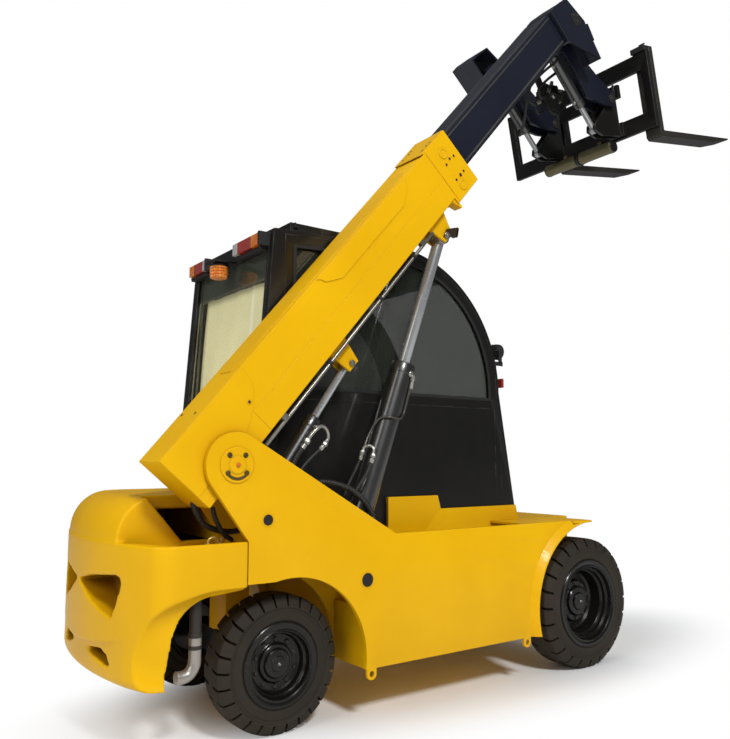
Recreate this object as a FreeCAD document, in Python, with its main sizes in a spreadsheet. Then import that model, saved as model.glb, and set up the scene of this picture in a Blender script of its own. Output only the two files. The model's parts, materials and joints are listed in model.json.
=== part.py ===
"""Compact telehandler: two-section boom, carriage with forks, cab beside the boom.

+X points forward, +Y to the machine's left, +Z up. The origin is on the ground under
the middle of the machine as it stands, forks included. All lengths are in millimetres
and all angles in degrees.
"""
import FreeCAD
import Part
import Sketcher
import math
import os
import re

SIZES = {
    # chassis
    "Wheelbase": 1922, "RearAxleX": -1429, "SideFace": 616, "SidePlate": 25,
    "SillZ": 235, "DeckZ": 817, "DeckPlate": 12, "SlopeFootX": -886,
    "FrameRearX": -1644, "NoseLength": 147, "FrameInner": 351, "FramePlate": 20,
    "RearArchRadius": 375, "RearArchTop": 655, "FenderCrease": 486, "FenderOut": 34,
    "FenderDrop": 24, "FenderSheet": 10, "WellFrontX": -10, "EarRadius": 134,
    "BellyPlate": 10, "EngineFloorZ": 600, "CradleHalf": 260, "CradleRail": 20,
    "CrossPlateZ": 500, "SteerBracketX": 60, "SteerBracketY": 90,
    "PlinthRearX": -728, "PlinthStepX": -396, "PlinthFrontX": 216, "PlinthTopZ": 968,
    "PlinthLowZ": 898, "PlinthLean": 20,
    # counterweight
    "WeightRearX": -2144, "WeightArc": 1400, "WeightCorner": 110, "WeightBottomZ": 275,
    "WeightLedgeZ": 826, "WeightEdge": 40, "WellFloorZ": 760, "WellLip": 25,
    "DomeSide": 345, "DomeRise": 181, "DomeRun": 161, "DomeShoulder": 4, "DomeCorner": 300,
    "DomeCutX": -1981, "DomeCutFootX": -1817, "DomeCutFootZ": 813, "DomeCutY": 250,
    "StepHalf": 420, "StepLowZ": 407, "StepRadius": 1560, "StepDepth": 18, "StepTopZ": 520,
    "SlotDepth": 150, "BayHalf": 300, "BayRearX": -1950, "BayWall": 60,
    "ArchInnerX": -1755, "ArchInnerZ": 432, "ArchInnerRadius": 185,
    # engine and exhaust
    "EngineRight": 260, "EngineLeft": 220, "EngineFrontX": -1194, "EngineGap": 10,
    "PipeX": -1824, "PipeY": 520, "PipeRadius": 27, "PipeTopZ": 640, "PipeElbowZ": 312,
    "PipeTail": 80, "PipeWall": 4,
    # wheels
    "FrontTyreRadius": 355, "FrontTyreWidth": 218, "FrontTrackHalf": 507, "FrontRimRadius": 206,
    "RearTyreRadius": 290, "RearTyreWidth": 176, "RearTrackHalf": 432, "RearRimRadius": 146,
    "LugCount": 22, "LugDepth": 24, "LugLength": 66, "LugSlot": 20, "LugLean": 14,
    "KingpinHalf": 315, "KingpinRadius": 20, "RunningGap": 0.05, "SeatGap": 0.3,
    "EyeZ": 212, "EyeRadius": 13, "EyeRing": 26, "EyePlate": 14, "EyeSetback": 28,
    "AxleTopZ": 350, "AxleBeamZ": 230, "AxleTube": 70, "AxleHousing": 95, "YokePlate": 18,
    "StubRadius": 26,
    # cab
    "CabRight": -326, "CabLeft": 600, "CabWall": 40, "CabFloorZ": 817, "CabRoofZ": 2295,
    "CabRoofFall": 33, "CabRearFootX": -1490, "CabRearTopX": -1390, "CabFrontFootX": 228,
    "CabNose": 755, "CabNoseX": -650, "WindowSillZ": 1494, "GlassThick": 6,
    "GlassInset": 17, "ScreenTopZ": 2165, "ScreenSillZ": 1060, "ScreenFrame": 20,
    "RearSillZ": 1414, "DoorRearX": -680, "DoorGap": 8, "DoorFrame": 60, "DoorSillZ": 1120,
    "DoorPost": 80, "WindowBorder": 70, "RearPost": 110, "RoofBand": 100,
    "RoofBoxRearX": -1279, "RoofBoxFrontX": -720, "RoofBoxRise": 25,
    "HingeRadius": 9.7, "HingeLeaf": 40, "HingeBarrel": 40, "HingeLowZ": 1000, "HingeHighZ": 1800,
    # cab inside
    "SeatX": -1080, "SeatRight": -40, "SeatLeft": 310, "SeatTopZ": 1290, "BackTopZ": 1860,
    "ColumnX": -120, "ColumnY": 135, "ColumnHalf": 40, "WheelZ": 1500, "WheelX": -360,
    "WheelRadius": 190, "WheelRim": 24,
    # lamps
    "LampZ": 2175, "LampTall": 70, "LampDeep": 56, "BeaconY": 125, "BeaconRadius": 50,
    "BeaconZ": 2085, "BeaconTall": 80, "BeaconBack": 76, "BeaconPlateZ": 2165,
    "WorkLampX": 100, "WorkLampLong": 64, "WorkLampY": -280, "WorkLampZ": 1790,
    "WorkLampRadius": 47, "BracketSheet": 8,
    # boom
    "PivotX": -1704, "PivotZ": 1136, "BoomAngle": 49.2, "BoomY": -471, "BoomHalf": 115,
    "BoomTail": 196, "BoomBelow": 36, "BoomAbove": 248, "BoomSheet": 8, "CollarStart": 1866,
    "BoomEnd": 2080, "CollarLip": 8, "CollarDrop": 36, "PivotPin": 40, "PinHead": 8,
    "TailPlate": 38, "PadStart": 60, "PipeOffset": 30, "LineRadius": 9,
    "InnerHalf": 95, "InnerLow": 20, "InnerHigh": 228, "InnerStart": 1140, "InnerEnd": 3412,
    "InnerPad": 100,
    # head
    "HeadHalf": 99, "HeadCentreY": -492, "HeadSpacing": 692, "HeadSheet": 12,
    "ArmPlate": 22, "ArmGap": 84, "TiltY": -388, "TiltSpacing": 483,
    "CarriagePinAlong": 3703, "CarriagePinBelow": 535, "CarriagePinRadius": 22,
    "TiltTopAlong": 3480, "TiltTopBelow": 10, "TiltRodAlong": 3445, "TiltRodBelow": 590,
    "TiltBarrelRadius": 34, "TiltBarrelLength": 400, "TiltRodRadius": 18, "TiltRodLength": 428,
    "TiltEye": 32, "TiltEyeHalf": 30, "TiltPin": 16,
    # carriage and forks
    "CarriageTilt": 10.5, "CarriageY": -55, "CarriageHalf": 625, "CarriageHalfHeight": 254,
    "CarriageFaceX": 150, "BarThick": 36, "BarTall": 110, "ForkWide": 114, "ForkThick": 42,
    "ForkHeelZ": -324, "ForkTopZ": 289, "ForkTipX": 1020, "ForkRightY": -623, "ForkLeftY": 116,
    "ShiftRadius": 44, "ShiftJoint": 50, "ShiftX": 30, "ShiftZ": -302,
    # lift cylinder
    "LiftBaseX": -1099, "LiftBaseZ": 600, "LiftTopAlong": 1714, "LiftTopBelow": 153,
    "LiftBarrelRadius": 60, "LiftBarrelLength": 1095, "LiftRodRadius": 30, "LiftRodLength": 930,
    "LiftEye": 38, "LiftEyeHalf": 34, "LugPlate": 16, "LugGap": 6,
    # levelling cylinder
    "LevelBaseX": -1540, "LevelBaseZ": 930, "LevelTopAlong": 775, "LevelTopBelow": 172,
    "LevelBarrelRadius": 36, "LevelBarrelLength": 505, "LevelRodRadius": 18,
    "LevelRodLength": 400, "LevelEye": 30, "LevelEyeHalf": 20,
}

doc = FreeCAD.newDocument("Telehandler")
sheet = doc.addObject("Spreadsheet::Sheet", "Sizes")
for row, (word, number) in enumerate(SIZES.items(), start=1):
    sheet.set("A%d" % row, word)
    sheet.set("B%d" % row, str(number))
    sheet.setAlias("B%d" % row, word)
doc.recompute()

PARTS = []


def cells(text):
    """Turn size names in an expression into references to the sheet's cells."""
    return re.sub(r"\b([A-Z]\w+)", r"Sizes.\1", str(text))


def value(text):
    """The number that an expression of sizes gives."""
    result = sheet.evalExpression(cells(text))
    return float(getattr(result, "Value", result))


def side_span(side, near, far):
    """The Y range from near to far out from the middle, on the left (+1) or right (-1)."""
    return (near, far) if side > 0 else ("-(%s)" % far, "-(%s)" % near)


def on_boom(along, above):
    """Machine X and Z of a point given along and above the boom's axis at its pivot."""
    turn = "BoomAngle * 1 deg"
    x = "PivotX + (%s) * cos(%s) - (%s) * sin(%s)" % (along, turn, above, turn)
    z = "PivotZ + (%s) * sin(%s) + (%s) * cos(%s)" % (along, turn, above, turn)
    return x, z


def heading(start, end):
    """The elevation of the line between two points of the XZ plane."""
    return "atan2((%s) - (%s); (%s) - (%s))" % (end[1], start[1], end[0], start[0])


class Piece:
    """A sub-part made as a PartDesign body whose sketches are tied to the sheet."""

    def __init__(self, label, at=("0", "0", "0"), raised=None):
        self.body = doc.addObject("PartDesign::Body", label)
        self.body.Label = label
        angle = value(raised) if raised else 0
        turn = FreeCAD.Rotation(FreeCAD.Vector(0, -1, 0), angle)
        place = FreeCAD.Vector(*[value(part) for part in at])
        self.body.Placement = FreeCAD.Placement(place, turn)
        for axis, part in zip("xyz", at):
            self.body.setExpression("Placement.Base." + axis, cells(part))
        if raised:
            self.body.setExpression("Placement.Rotation.Angle", cells(raised))
        PARTS.append(self.body)

    def sketch(self, plane, level, loops, origin=("0", "0")):
        """A sketch on one of the body's planes, at a level along its normal, with its origin."""
        planes = {item.Role: item for item in self.body.Origin.OriginFeatures}
        drawing = self.body.newObject("Sketcher::SketchObject", self.body.Name + "Sketch")
        drawing.AttachmentSupport = [(planes[plane + "_Plane"], "")]
        drawing.MapMode = "FlatFace"
        for axis, part in zip("xyz", origin + (level,)):
            drawing.setExpression("AttachmentOffset.Base." + axis, cells(part))
        for loop in loops:
            if loop[0] == "circle":
                self.draw_circle(drawing, *loop[1:])
            else:
                self.draw_outline(drawing, loop)
        return drawing

    @staticmethod
    def fix(drawing, kind, index, point, text):
        """Tie one coordinate of a point of the sketch to an expression."""
        rule = Sketcher.Constraint(kind, -1, 1, index, point, value(text))
        number = drawing.addConstraint(rule)
        drawing.setExpression("Constraints[%d]" % number, cells(text))

    def draw_circle(self, drawing, x, y, radius):
        centre = FreeCAD.Vector(value(x), value(y), 0)
        ring = Part.Circle(centre, FreeCAD.Vector(0, 0, 1), value(radius))
        index = drawing.addGeometry(ring, False)
        self.fix(drawing, "DistanceX", index, 3, x)
        self.fix(drawing, "DistanceY", index, 3, y)
        number = drawing.addConstraint(Sketcher.Constraint("Radius", index, value(radius)))
        drawing.setExpression("Constraints[%d]" % number, cells(radius))

    def draw_outline(self, drawing, loop):
        """A closed outline of lines, and of arcs where a point also names a centre.

        A point is (x, y), reached by a line, or (x, y, centre x, centre y, way), reached by
        an arc that runs anticlockwise where way is 1 and clockwise where it is -1.
        """
        spots = [FreeCAD.Vector(value(point[0]), value(point[1]), 0) for point in loop]
        ends = []
        for number, point in enumerate(loop):
            start, end = spots[number - 1], spots[number]
            if len(point) == 2:
                index = drawing.addGeometry(Part.LineSegment(start, end), False)
                ends.append((index, 1, 2))
                continue
            centre = FreeCAD.Vector(value(point[2]), value(point[3]), 0)
            first, last = (start, end) if point[4] > 0 else (end, start)
            low, high = [math.atan2(*(spot - centre)[1::-1]) for spot in (first, last)]
            ring = Part.Circle(centre, FreeCAD.Vector(0, 0, 1), (start - centre).Length)
            index = drawing.addGeometry(Part.ArcOfCircle(ring, low, high), False)
            ends.append((index, 1, 2) if point[4] > 0 else (index, 2, 1))
        for number, point in enumerate(loop):
            index, start_point, end_point = ends[number]
            following = ends[(number + 1) % len(loop)]
            drawing.addConstraint(
                Sketcher.Constraint("Coincident", index, end_point, following[0], following[1]))
            ties = ["DistanceX", "DistanceY"]
            if len(point) > 2:
                self.fix(drawing, "DistanceX", index, 3, point[2])
                self.fix(drawing, "DistanceY", index, 3, point[3])
                offset = spots[number] - FreeCAD.Vector(value(point[2]), value(point[3]), 0)
                ties = ["DistanceX"] if abs(offset.y) > abs(offset.x) else ["DistanceY"]
            for kind in ties:
                text = point[0] if kind == "DistanceX" else point[1]
                self.fix(drawing, kind, index, end_point, text)

    def pad(self, plane, low, high, *loops):
        """Add the loops' area between two levels along the plane's machine axis."""
        level = "-(%s)" % high if plane == "XZ" else low
        drawing = self.sketch(plane, level, loops)
        feature = self.body.newObject("PartDesign::Pad", self.body.Name + "Pad")
        feature.Profile = drawing
        feature.setExpression("Length", cells("(%s) - (%s)" % (high, low)))
        return feature

    def cut(self, plane, low, high, *loops):
        """Take the loops' area away between two levels."""
        level = "-(%s)" % low if plane == "XZ" else high
        drawing = self.sketch(plane, level, loops)
        feature = self.body.newObject("PartDesign::Pocket", self.body.Name + "Pocket")
        feature.Profile = drawing
        feature.setExpression("Length", cells("(%s) - (%s)" % (high, low)))
        return feature

    def loft(self, kind, plane, sections):
        """Join outlines at several levels; kind is Additive or Subtractive."""
        drawings = [self.sketch(plane, level, [loop]) for level, loop in sections]
        feature = self.body.newObject("PartDesign::%sLoft" % kind, self.body.Name + "Loft")
        feature.Profile = drawings[0]
        feature.Sections = drawings[1:]
        return feature

    def repeat(self, feature, count):
        """Repeat a feature round the body's Y axis."""
        axes = {item.Role: item for item in self.body.Origin.OriginFeatures}
        pattern = self.body.newObject("PartDesign::PolarPattern", self.body.Name + "Pattern")
        pattern.Originals = [feature]
        pattern.Axis = (axes["Y_Axis"], [""])
        pattern.Angle = 360
        pattern.setExpression("Occurrences", cells(count))
        self.body.Tip = pattern

    def round_edges(self, radius, wanted):
        """Round those edges of the body so far whose bounds pass a test."""
        doc.recompute()
        base = self.body.Tip
        names = ["Edge%d" % number for number, edge in enumerate(base.Shape.Edges, start=1)
                 if wanted(edge.BoundBox)]
        feature = self.body.newObject("PartDesign::Fillet", self.body.Name + "Fillet")
        feature.Base = (base, names)
        feature.setExpression("Radius", cells(radius))

    def spin(self, plane, loop, level="0", origin=("0", "0")):
        """Turn a loop about its sketch's first axis: X for XZ, Y for YZ."""
        drawing = self.sketch(plane, level, [loop], origin)
        feature = self.body.newObject("PartDesign::Revolution", self.body.Name + "Turn")
        feature.Profile = drawing
        feature.ReferenceAxis = (drawing, ["H_Axis"])
        feature.Angle = 360
        return feature


def box(low_x, high_x, low_y, high_y):
    """The outline of a rectangle."""
    return [(low_x, low_y), (high_x, low_y), (high_x, high_y), (low_x, high_y)]


def circle(x, y, radius):
    return ("circle", x, y, radius)


FRONT_X = "RearAxleX + Wheelbase"
FACE = "SideFace - SidePlate"
FRAME_FRONT = "RearAxleX + Wheelbase + NoseLength"
REAR_EDGE = "RearAxleX + RearArchRadius"


def ear_points():
    """The pivot ear's outline above the deck, from its front foot to its rear foot."""
    return [
        ("SlopeFootX", "DeckZ"),
        ("PivotX + EarRadius * cos(60 deg)", "PivotZ + EarRadius * sin(60 deg)"),
        ("PivotX", "PivotZ"),
        ("PivotX - EarRadius * cos(36 deg)", "PivotZ - EarRadius * sin(36 deg)"),
        ("FrameRearX", "WeightLedgeZ"),
    ]


def sill_points(front):
    """A long plate's outline from the rear arch forward to its front end at the deck."""
    return [("FrameRearX", "RearArchTop"), ("RearAxleX", "RearArchTop"), ("RearAxleX", "SillZ"),
            (front, "SillZ"), (front, "DeckZ")]


def frame_side(side):
    """One side of the frame: face plate with arches and fender lip, deck, belly, tie-downs."""
    piece = Piece("frame_side_left" if side > 0 else "frame_side_right")
    face = side_span(side, FACE, "SideFace")
    channel = side_span(side, "FrameInner", FACE)
    lip = [(FACE, "FenderCrease - FenderSheet"), (FACE, "FenderCrease + 4"),
           ("SideFace", "FenderCrease + 4"),
           ("SideFace + FenderOut", "FenderCrease - FenderDrop"),
           ("SideFace + FenderOut", "FenderCrease - FenderDrop - FenderSheet"),
           ("SideFace + FenderOut - 8", "FenderCrease - FenderDrop - FenderSheet"),
           ("SideFace - 2", "FenderCrease - FenderSheet")]
    lip = [("%d * (%s)" % (side, point[0]), point[1]) for point in lip]
    piece.spin("YZ", lip, level=FRONT_X, origin=("0", "FrontTyreRadius"))
    reach = FRONT_X + " + FenderCrease + 20"
    back = FRONT_X + " - FenderCrease - 20"
    top = "FrontTyreRadius + FenderCrease + 20"
    near, far = side_span(side, FACE + " - 1", "SideFace + FenderOut + 1")
    low_z = "FrontTyreRadius - FenderCrease - 20"
    piece.cut("XZ", near, far, box(FRONT_X, reach, low_z, top))
    piece.cut("XZ", near, far, box(back, FRONT_X, "DeckZ", top))
    piece.cut("XZ", near, far, box(back, FRONT_X, low_z, "SillZ"))
    if side < 0:
        piece.pad("XZ", *face, sill_points(FRONT_X) + ear_points())
        piece.pad("XZ", *face, circle("PivotX", "PivotZ", "EarRadius"))
    else:
        piece.pad("XZ", *face, sill_points(FRONT_X) + [("FrameRearX", "DeckZ")])
    piece.cut("XZ", *face, circle(FRONT_X, "FrontTyreRadius", "FenderCrease - FenderSheet"))
    # deck with its flare over the fender, belly, and plates across at both ends
    deck_start = "WellFrontX" if side < 0 else "FrameRearX"
    near, far = side_span(side, "FrameInner", "SideFace")
    piece.pad("XY", "DeckZ - DeckPlate", "DeckZ", box(deck_start, FRONT_X, near, far))
    near, far = side_span(side, "SideFace", "SideFace + FenderOut")
    flare = "sqrt(pow(FenderCrease; 2) - pow(DeckZ - FrontTyreRadius; 2))"
    piece.pad("XY", "DeckZ - DeckPlate", "DeckZ",
              box("%s - %s" % (FRONT_X, flare), FRONT_X, near, far))
    belly_front = FRONT_X + " - FenderCrease"
    piece.pad("XY", "SillZ", "SillZ + BellyPlate", box(REAR_EDGE, belly_front, *channel))
    piece.pad("YZ", REAR_EDGE, REAR_EDGE + " + DeckPlate",
              box(*channel, "SillZ", "CrossPlateZ"))
    piece.pad("YZ", "FrameRearX", "FrameRearX + DeckPlate",
              box(*channel, "RearArchTop", "DeckZ"))
    # tie-down eyes under the sill
    low, high = side_span(side, "SideFace - EyePlate", "SideFace")
    for eye_x in (REAR_EDGE + " + EyeSetback", FRONT_X + " - FenderCrease - EyeSetback"):
        piece.pad("XZ", low, high, box(eye_x + " - EyeRing", eye_x + " + EyeRing", "EyeZ",
                                       "SillZ + 6"))
        piece.pad("XZ", low, high, circle(eye_x, "EyeZ", "EyeRing"))
        piece.cut("XZ", low, high, circle(eye_x, "EyeZ", "EyeRadius"))
    near, far = side_span(side, "FrameInner", "SideFace")
    piece.cut("XZ", near, far, circle("RearAxleX", "RearTyreRadius", "RearArchRadius"))
    if side < 0:
        piece.cut("XZ", *face, circle("PivotX", "PivotZ", "PivotPin + RunningGap"))
    return piece


def chassis_frame():
    """Welded centre frame: inner plates, one pivot ear, deck, belly, nose and engine floor."""
    piece = Piece("chassis_frame")
    plinth = [("PlinthFrontX", "DeckZ"), ("PlinthFrontX - PlinthLean", "PlinthLowZ"),
              ("PlinthStepX + PlinthLean", "PlinthLowZ"), ("PlinthStepX", "PlinthTopZ"),
              ("PlinthRearX", "PlinthTopZ"), ("PlinthRearX", "DeckZ")]
    right = sill_points(FRAME_FRONT) + plinth + ear_points()
    inner = ("-FrameInner", "FramePlate - FrameInner")
    piece.pad("XZ", *inner, right)
    piece.pad("XZ", *inner, circle("PivotX", "PivotZ", "EarRadius"))
    piece.pad("XZ", "FrameInner - FramePlate", "FrameInner",
              sill_points(FRAME_FRONT) + [("FrameRearX", "DeckZ")])
    # deck, belly and nose
    between = ("-FrameInner", "FrameInner")
    piece.pad("XY", "DeckZ - DeckPlate", "DeckZ", box("FrameRearX", FRAME_FRONT, *between))
    piece.pad("XY", "SillZ", "SillZ + BellyPlate", box(REAR_EDGE, FRAME_FRONT, *between))
    piece.pad("YZ", FRAME_FRONT + " - FramePlate", FRAME_FRONT, box(*between, "SillZ", "DeckZ"))
    # rear bulkhead, engine floor with its rails, and the steering axle's bracket under it
    piece.pad("YZ", "FrameRearX", "FrameRearX + DeckPlate",
              box(*between, "RearArchTop", "DeckZ"))
    piece.cut("YZ", "FrameRearX", "FrameRearX + DeckPlate",
              box("-CradleHalf", "CradleHalf", "RearArchTop", "DeckZ - DeckPlate"))
    piece.pad("XY", "EngineFloorZ", "EngineFloorZ + DeckPlate",
              box("BayRearX + EngineGap", REAR_EDGE, "-CradleHalf", "CradleHalf"))
    piece.pad("YZ", REAR_EDGE, REAR_EDGE + " + DeckPlate",
              box(*between, "SillZ", "EngineFloorZ + DeckPlate"))
    piece.pad("XY", "AxleTopZ", "EngineFloorZ",
              box("RearAxleX - SteerBracketX", "RearAxleX + SteerBracketX", "-SteerBracketY",
                  "SteerBracketY"))
    for side in (1, -1):
        low, high = side_span(side, "CradleHalf", "CradleHalf + CradleRail")
        piece.pad("XZ", low, high,
                  box("BayRearX + EngineGap", REAR_EDGE, "EngineFloorZ", "RearArchTop"))
    # wheel arches, front axle tubes and pivot pin hole
    for low, high in (("-FrameInner", "FramePlate - FrameInner"),
                      ("FrameInner - FramePlate", "FrameInner")):
        piece.cut("XZ", low, high, circle("RearAxleX", "RearTyreRadius", "RearArchRadius"))
    piece.cut("XZ", *between, circle(FRONT_X, "FrontTyreRadius", "AxleTube + SeatGap"))
    piece.cut("XZ", *inner, circle("PivotX", "PivotZ", "PivotPin + RunningGap"))
    return piece


def arc_reach(corner):
    """How far the centre of a rear corner lies behind the centre of the rear face's arc."""
    return "sqrt(pow(WeightArc - %s; 2) - pow(SideFace - %s; 2))" % (corner, corner)


def weight_plan(stepped=False):
    """Plan of the weight: straight sides, round corners and a rear face bent to one arc.

    Stepped, the middle of the rear face follows a flatter arc that starts further in.
    """
    middle = "WeightRearX + WeightArc"
    reach = arc_reach("WeightCorner")
    corner_x = "%s - %s" % (middle, reach)
    corner_y = "SideFace - WeightCorner"
    meet_x = "%s - WeightArc * %s / (WeightArc - WeightCorner)" % (middle, reach)
    meet_y = "WeightArc * (SideFace - WeightCorner) / (WeightArc - WeightCorner)"
    loop = [("FrameRearX", "-SideFace"), (corner_x, "-SideFace"),
            (meet_x, "-(%s)" % meet_y, corner_x, "-(%s)" % corner_y, -1)]
    if stepped:
        chord_x = "%s - sqrt(pow(WeightArc; 2) - pow(StepHalf; 2))" % middle
        sag = "(%s - WeightRearX - StepDepth)" % chord_x
        radius = "(pow(StepHalf; 2) + pow(%s; 2)) / (2 * %s)" % (sag, sag)
        loop += [(chord_x, "-StepHalf", middle, "0", -1),
                 (chord_x, "StepHalf", "WeightRearX + StepDepth + %s" % radius, "0", -1)]
    loop += [(meet_x, meet_y, middle, "0", -1),
             (corner_x, "SideFace", corner_x, corner_y, -1), ("FrameRearX", "SideFace")]
    return loop


def dome_plan(inset):
    """Plan of the dome left of the boom, drawn in by an inset, its front end left long."""
    middle = "WeightRearX + WeightArc"
    reach = arc_reach("DomeCorner")
    radius = "(WeightArc - %s)" % inset
    corner_x = "%s - %s" % (middle, reach)
    meet_y = "%s * (SideFace - DomeCorner) / (WeightArc - DomeCorner)" % radius
    meet_x = "%s - %s * %s / (WeightArc - DomeCorner)" % (middle, radius, reach)
    edge_x = "%s - sqrt(pow(%s; 2) - pow(DomeSide; 2))" % (middle, radius)
    front = "FrameRearX + WellLip"
    return [(front, "-DomeSide"), (edge_x, "-DomeSide"), (meet_x, meet_y, middle, "0", -1),
            (corner_x, "SideFace - %s" % inset, corner_x, "SideFace - DomeCorner", -1),
            (front, "SideFace - %s" % inset)]


def dome_levels():
    """Heights of the dome's sections, each with how far its outline is drawn in there."""
    return [("WeightLedgeZ + DomeRise * sin(%d deg)" % angle,
             "(DomeShoulder + DomeRun * (1 - cos(%d deg)))" % angle) for angle in (0, 25, 50, 70, 90)]


# Each row: rise above the arch's centre, the inner edge's place ahead of it and inset from
# the side, then the same two for the outer crease.
FLARE = ((-167, -198, 56, -285, 96), (4, -185, 56, -302, 128), (113, -143, 56, -273, 60),
         (173, -65, 56, -210, 6), (213, 5, -2, -95, -4))
WING_SLOT = ((-12, 655), (-147, 683), (-346, 701), (-378, 697), (-392, 672), (-373, 618),
             (-330, 533), (-235, 557), (-124, 592))
FOOT_SLOT = ((-83, 384), (-235, 401), (-288, 386), (-324, 345), (-266, 344), (-170, 360))


def counterweight():
    """Cast rear weight: bent rear face, dome, scooped wheel openings, slots and engine bay."""
    piece = Piece("counterweight")
    piece.pad("XY", "WeightBottomZ", "WeightLedgeZ", weight_plan())
    lift = "StepLowZ + StepRadius - sqrt(pow(StepRadius; 2) - pow(StepHalf; 2))"
    under = [("-StepHalf", "WeightBottomZ - 1"), ("StepHalf", "WeightBottomZ - 1"),
             ("StepHalf", lift), ("-StepHalf", lift, "0", "StepLowZ + StepRadius", -1)]
    piece.cut("YZ", "WeightRearX - 1", "BayRearX", under)
    piece.pad("XY", "WeightBottomZ", "StepTopZ", weight_plan(stepped=True))
    bottom, front = value("WeightBottomZ"), value("FrameRearX")
    piece.round_edges("WeightEdge", lambda area: area.ZMax < bottom + 1 and area.XMin < front - 1)
    piece.loft("Additive", "XY", [(level, dome_plan(inset)) for level, inset in dome_levels()])
    crown = "WeightLedgeZ + DomeRise"
    piece.cut("XZ", "-SideFace", "SideFace",
              box("FrameRearX", "FrameRearX + 2 * WellLip", "WeightLedgeZ", crown + " + WellLip"))
    # boom well behind a lip, and the dome cut back where the boom's tail comes down
    inner_x = "WeightRearX + WeightArc - sqrt(pow(WeightArc - WellLip; 2) - pow(DomeSide; 2))"
    lip_x = "WeightRearX + WeightArc - %s" % arc_reach("WeightCorner")
    piece.cut("XY", "WellFloorZ", "WeightLedgeZ",
              [("FrameRearX", "-DomeSide"), (inner_x, "-DomeSide"),
               (lip_x, "WellLip - SideFace"), ("FrameRearX", "WellLip - SideFace")])
    above = "WellLip * (DomeCutFootX - DomeCutX) / (%s - DomeCutFootZ)" % crown
    piece.cut("XZ", "-DomeSide - WellLip", "-DomeCutY",
              [("DomeCutX - " + above, crown + " + WellLip"),
               ("DomeCutFootX", "DomeCutFootZ"), ("FrameRearX + 1", "DomeCutFootZ"),
               ("FrameRearX + 1", crown + " + WellLip")])
    for side in (1, -1):
        wheel_opening(piece, side)
        for outline in (WING_SLOT, FOOT_SLOT):
            piece.cut("YZ", "WeightRearX", "WeightRearX + SlotDepth",
                      [(str(-side * y), str(z)) for y, z in outline])
    piece.cut("XZ", "-BayHalf", "BayHalf",
              box(REAR_EDGE + " - 2 * RearArchRadius - BayWall", "FrameRearX", "WeightBottomZ",
                  "EngineFloorZ"))
    piece.cut("XZ", "-BayHalf + FramePlate", "BayHalf",
              box("BayRearX", "FrameRearX", "EngineFloorZ", crown + " - BayWall"))
    piece.cut("XY", "ArchInnerZ", "PipeTopZ", circle("PipeX", "-PipeY", "PipeRadius + SeatGap"))
    return piece


def wheel_opening(piece, side):
    """The opening for a rear wheel and the scooped flare round its edge."""
    low, high = side_span(side, "BayHalf", "SideFace + 1")
    piece.cut("XZ", low, high,
              [("FrameRearX", "WeightBottomZ - 1"),
               ("FrameRearX", "ArchInnerZ + ArchInnerRadius + 14"),
               ("ArchInnerX", "ArchInnerZ + ArchInnerRadius"),
               ("ArchInnerX - ArchInnerRadius", "ArchInnerZ", "ArchInnerX", "ArchInnerZ", 1),
               ("ArchInnerX - ArchInnerRadius - 13", "WeightBottomZ - 1")])
    sections = []
    for rise, inner_x, inner_y, crease_x, crease_y in FLARE:
        spots = [("FrameRearX + 10", inner_y), ("ArchInnerX + %d" % inner_x, inner_y),
                 ("ArchInnerX + %d" % crease_x, crease_y),
                 ("ArchInnerX + %d" % (crease_x - 150), crease_y - 60),
                 ("ArchInnerX + %d" % (crease_x - 150), -100), ("FrameRearX + 10", -100)]
        sections.append(("ArchInnerZ + %d" % rise,
                         [(x, "%d * (SideFace - %d)" % (side, inset)) for x, inset in spots]))
    piece.loft("Subtractive", "XY", sections)


def engine_hood():
    """Closed cover between the counterweight and the cab, left of the boom."""
    piece = Piece("engine_hood")
    low, high = "FrameRearX + SeatGap", "CabRearFootX - 12"
    sections = [(level, box(low, high, "FramePlate - FrameInner + 4", "SideFace - %s" % inset))
                for level, inset in dome_levels()]
    piece.pad("XY", "DeckZ", "WeightLedgeZ",
              box(low, high, "FramePlate - FrameInner + 4", "SideFace"))
    piece.loft("Additive", "XY", sections)


def engine_block():
    piece = Piece("engine_block")
    piece.pad("XY", "EngineFloorZ + DeckPlate", "DeckZ - DeckPlate - EngineGap",
              box("BayRearX + 4 * EngineGap", "EngineFrontX", "-EngineRight", "EngineLeft"))


def exhaust_pipe():
    """Down pipe in the right rear wheel opening, turned to the rear at its foot."""
    piece = Piece("exhaust_pipe")
    bore = "PipeRadius - PipeWall"
    piece.pad("XY", "PipeElbowZ", "PipeTopZ", circle("PipeX", "-PipeY", "PipeRadius"))
    piece.pad("XY", "PipeElbowZ - 12", "PipeElbowZ", circle("PipeX", "-PipeY", "PipeRadius"))
    piece.pad("YZ", "PipeX - PipeTail", "PipeX", circle("-PipeY", "PipeElbowZ", "PipeRadius - 1"))
    piece.cut("YZ", "PipeX - PipeTail", "PipeX - 20", circle("-PipeY", "PipeElbowZ", bore))


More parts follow.
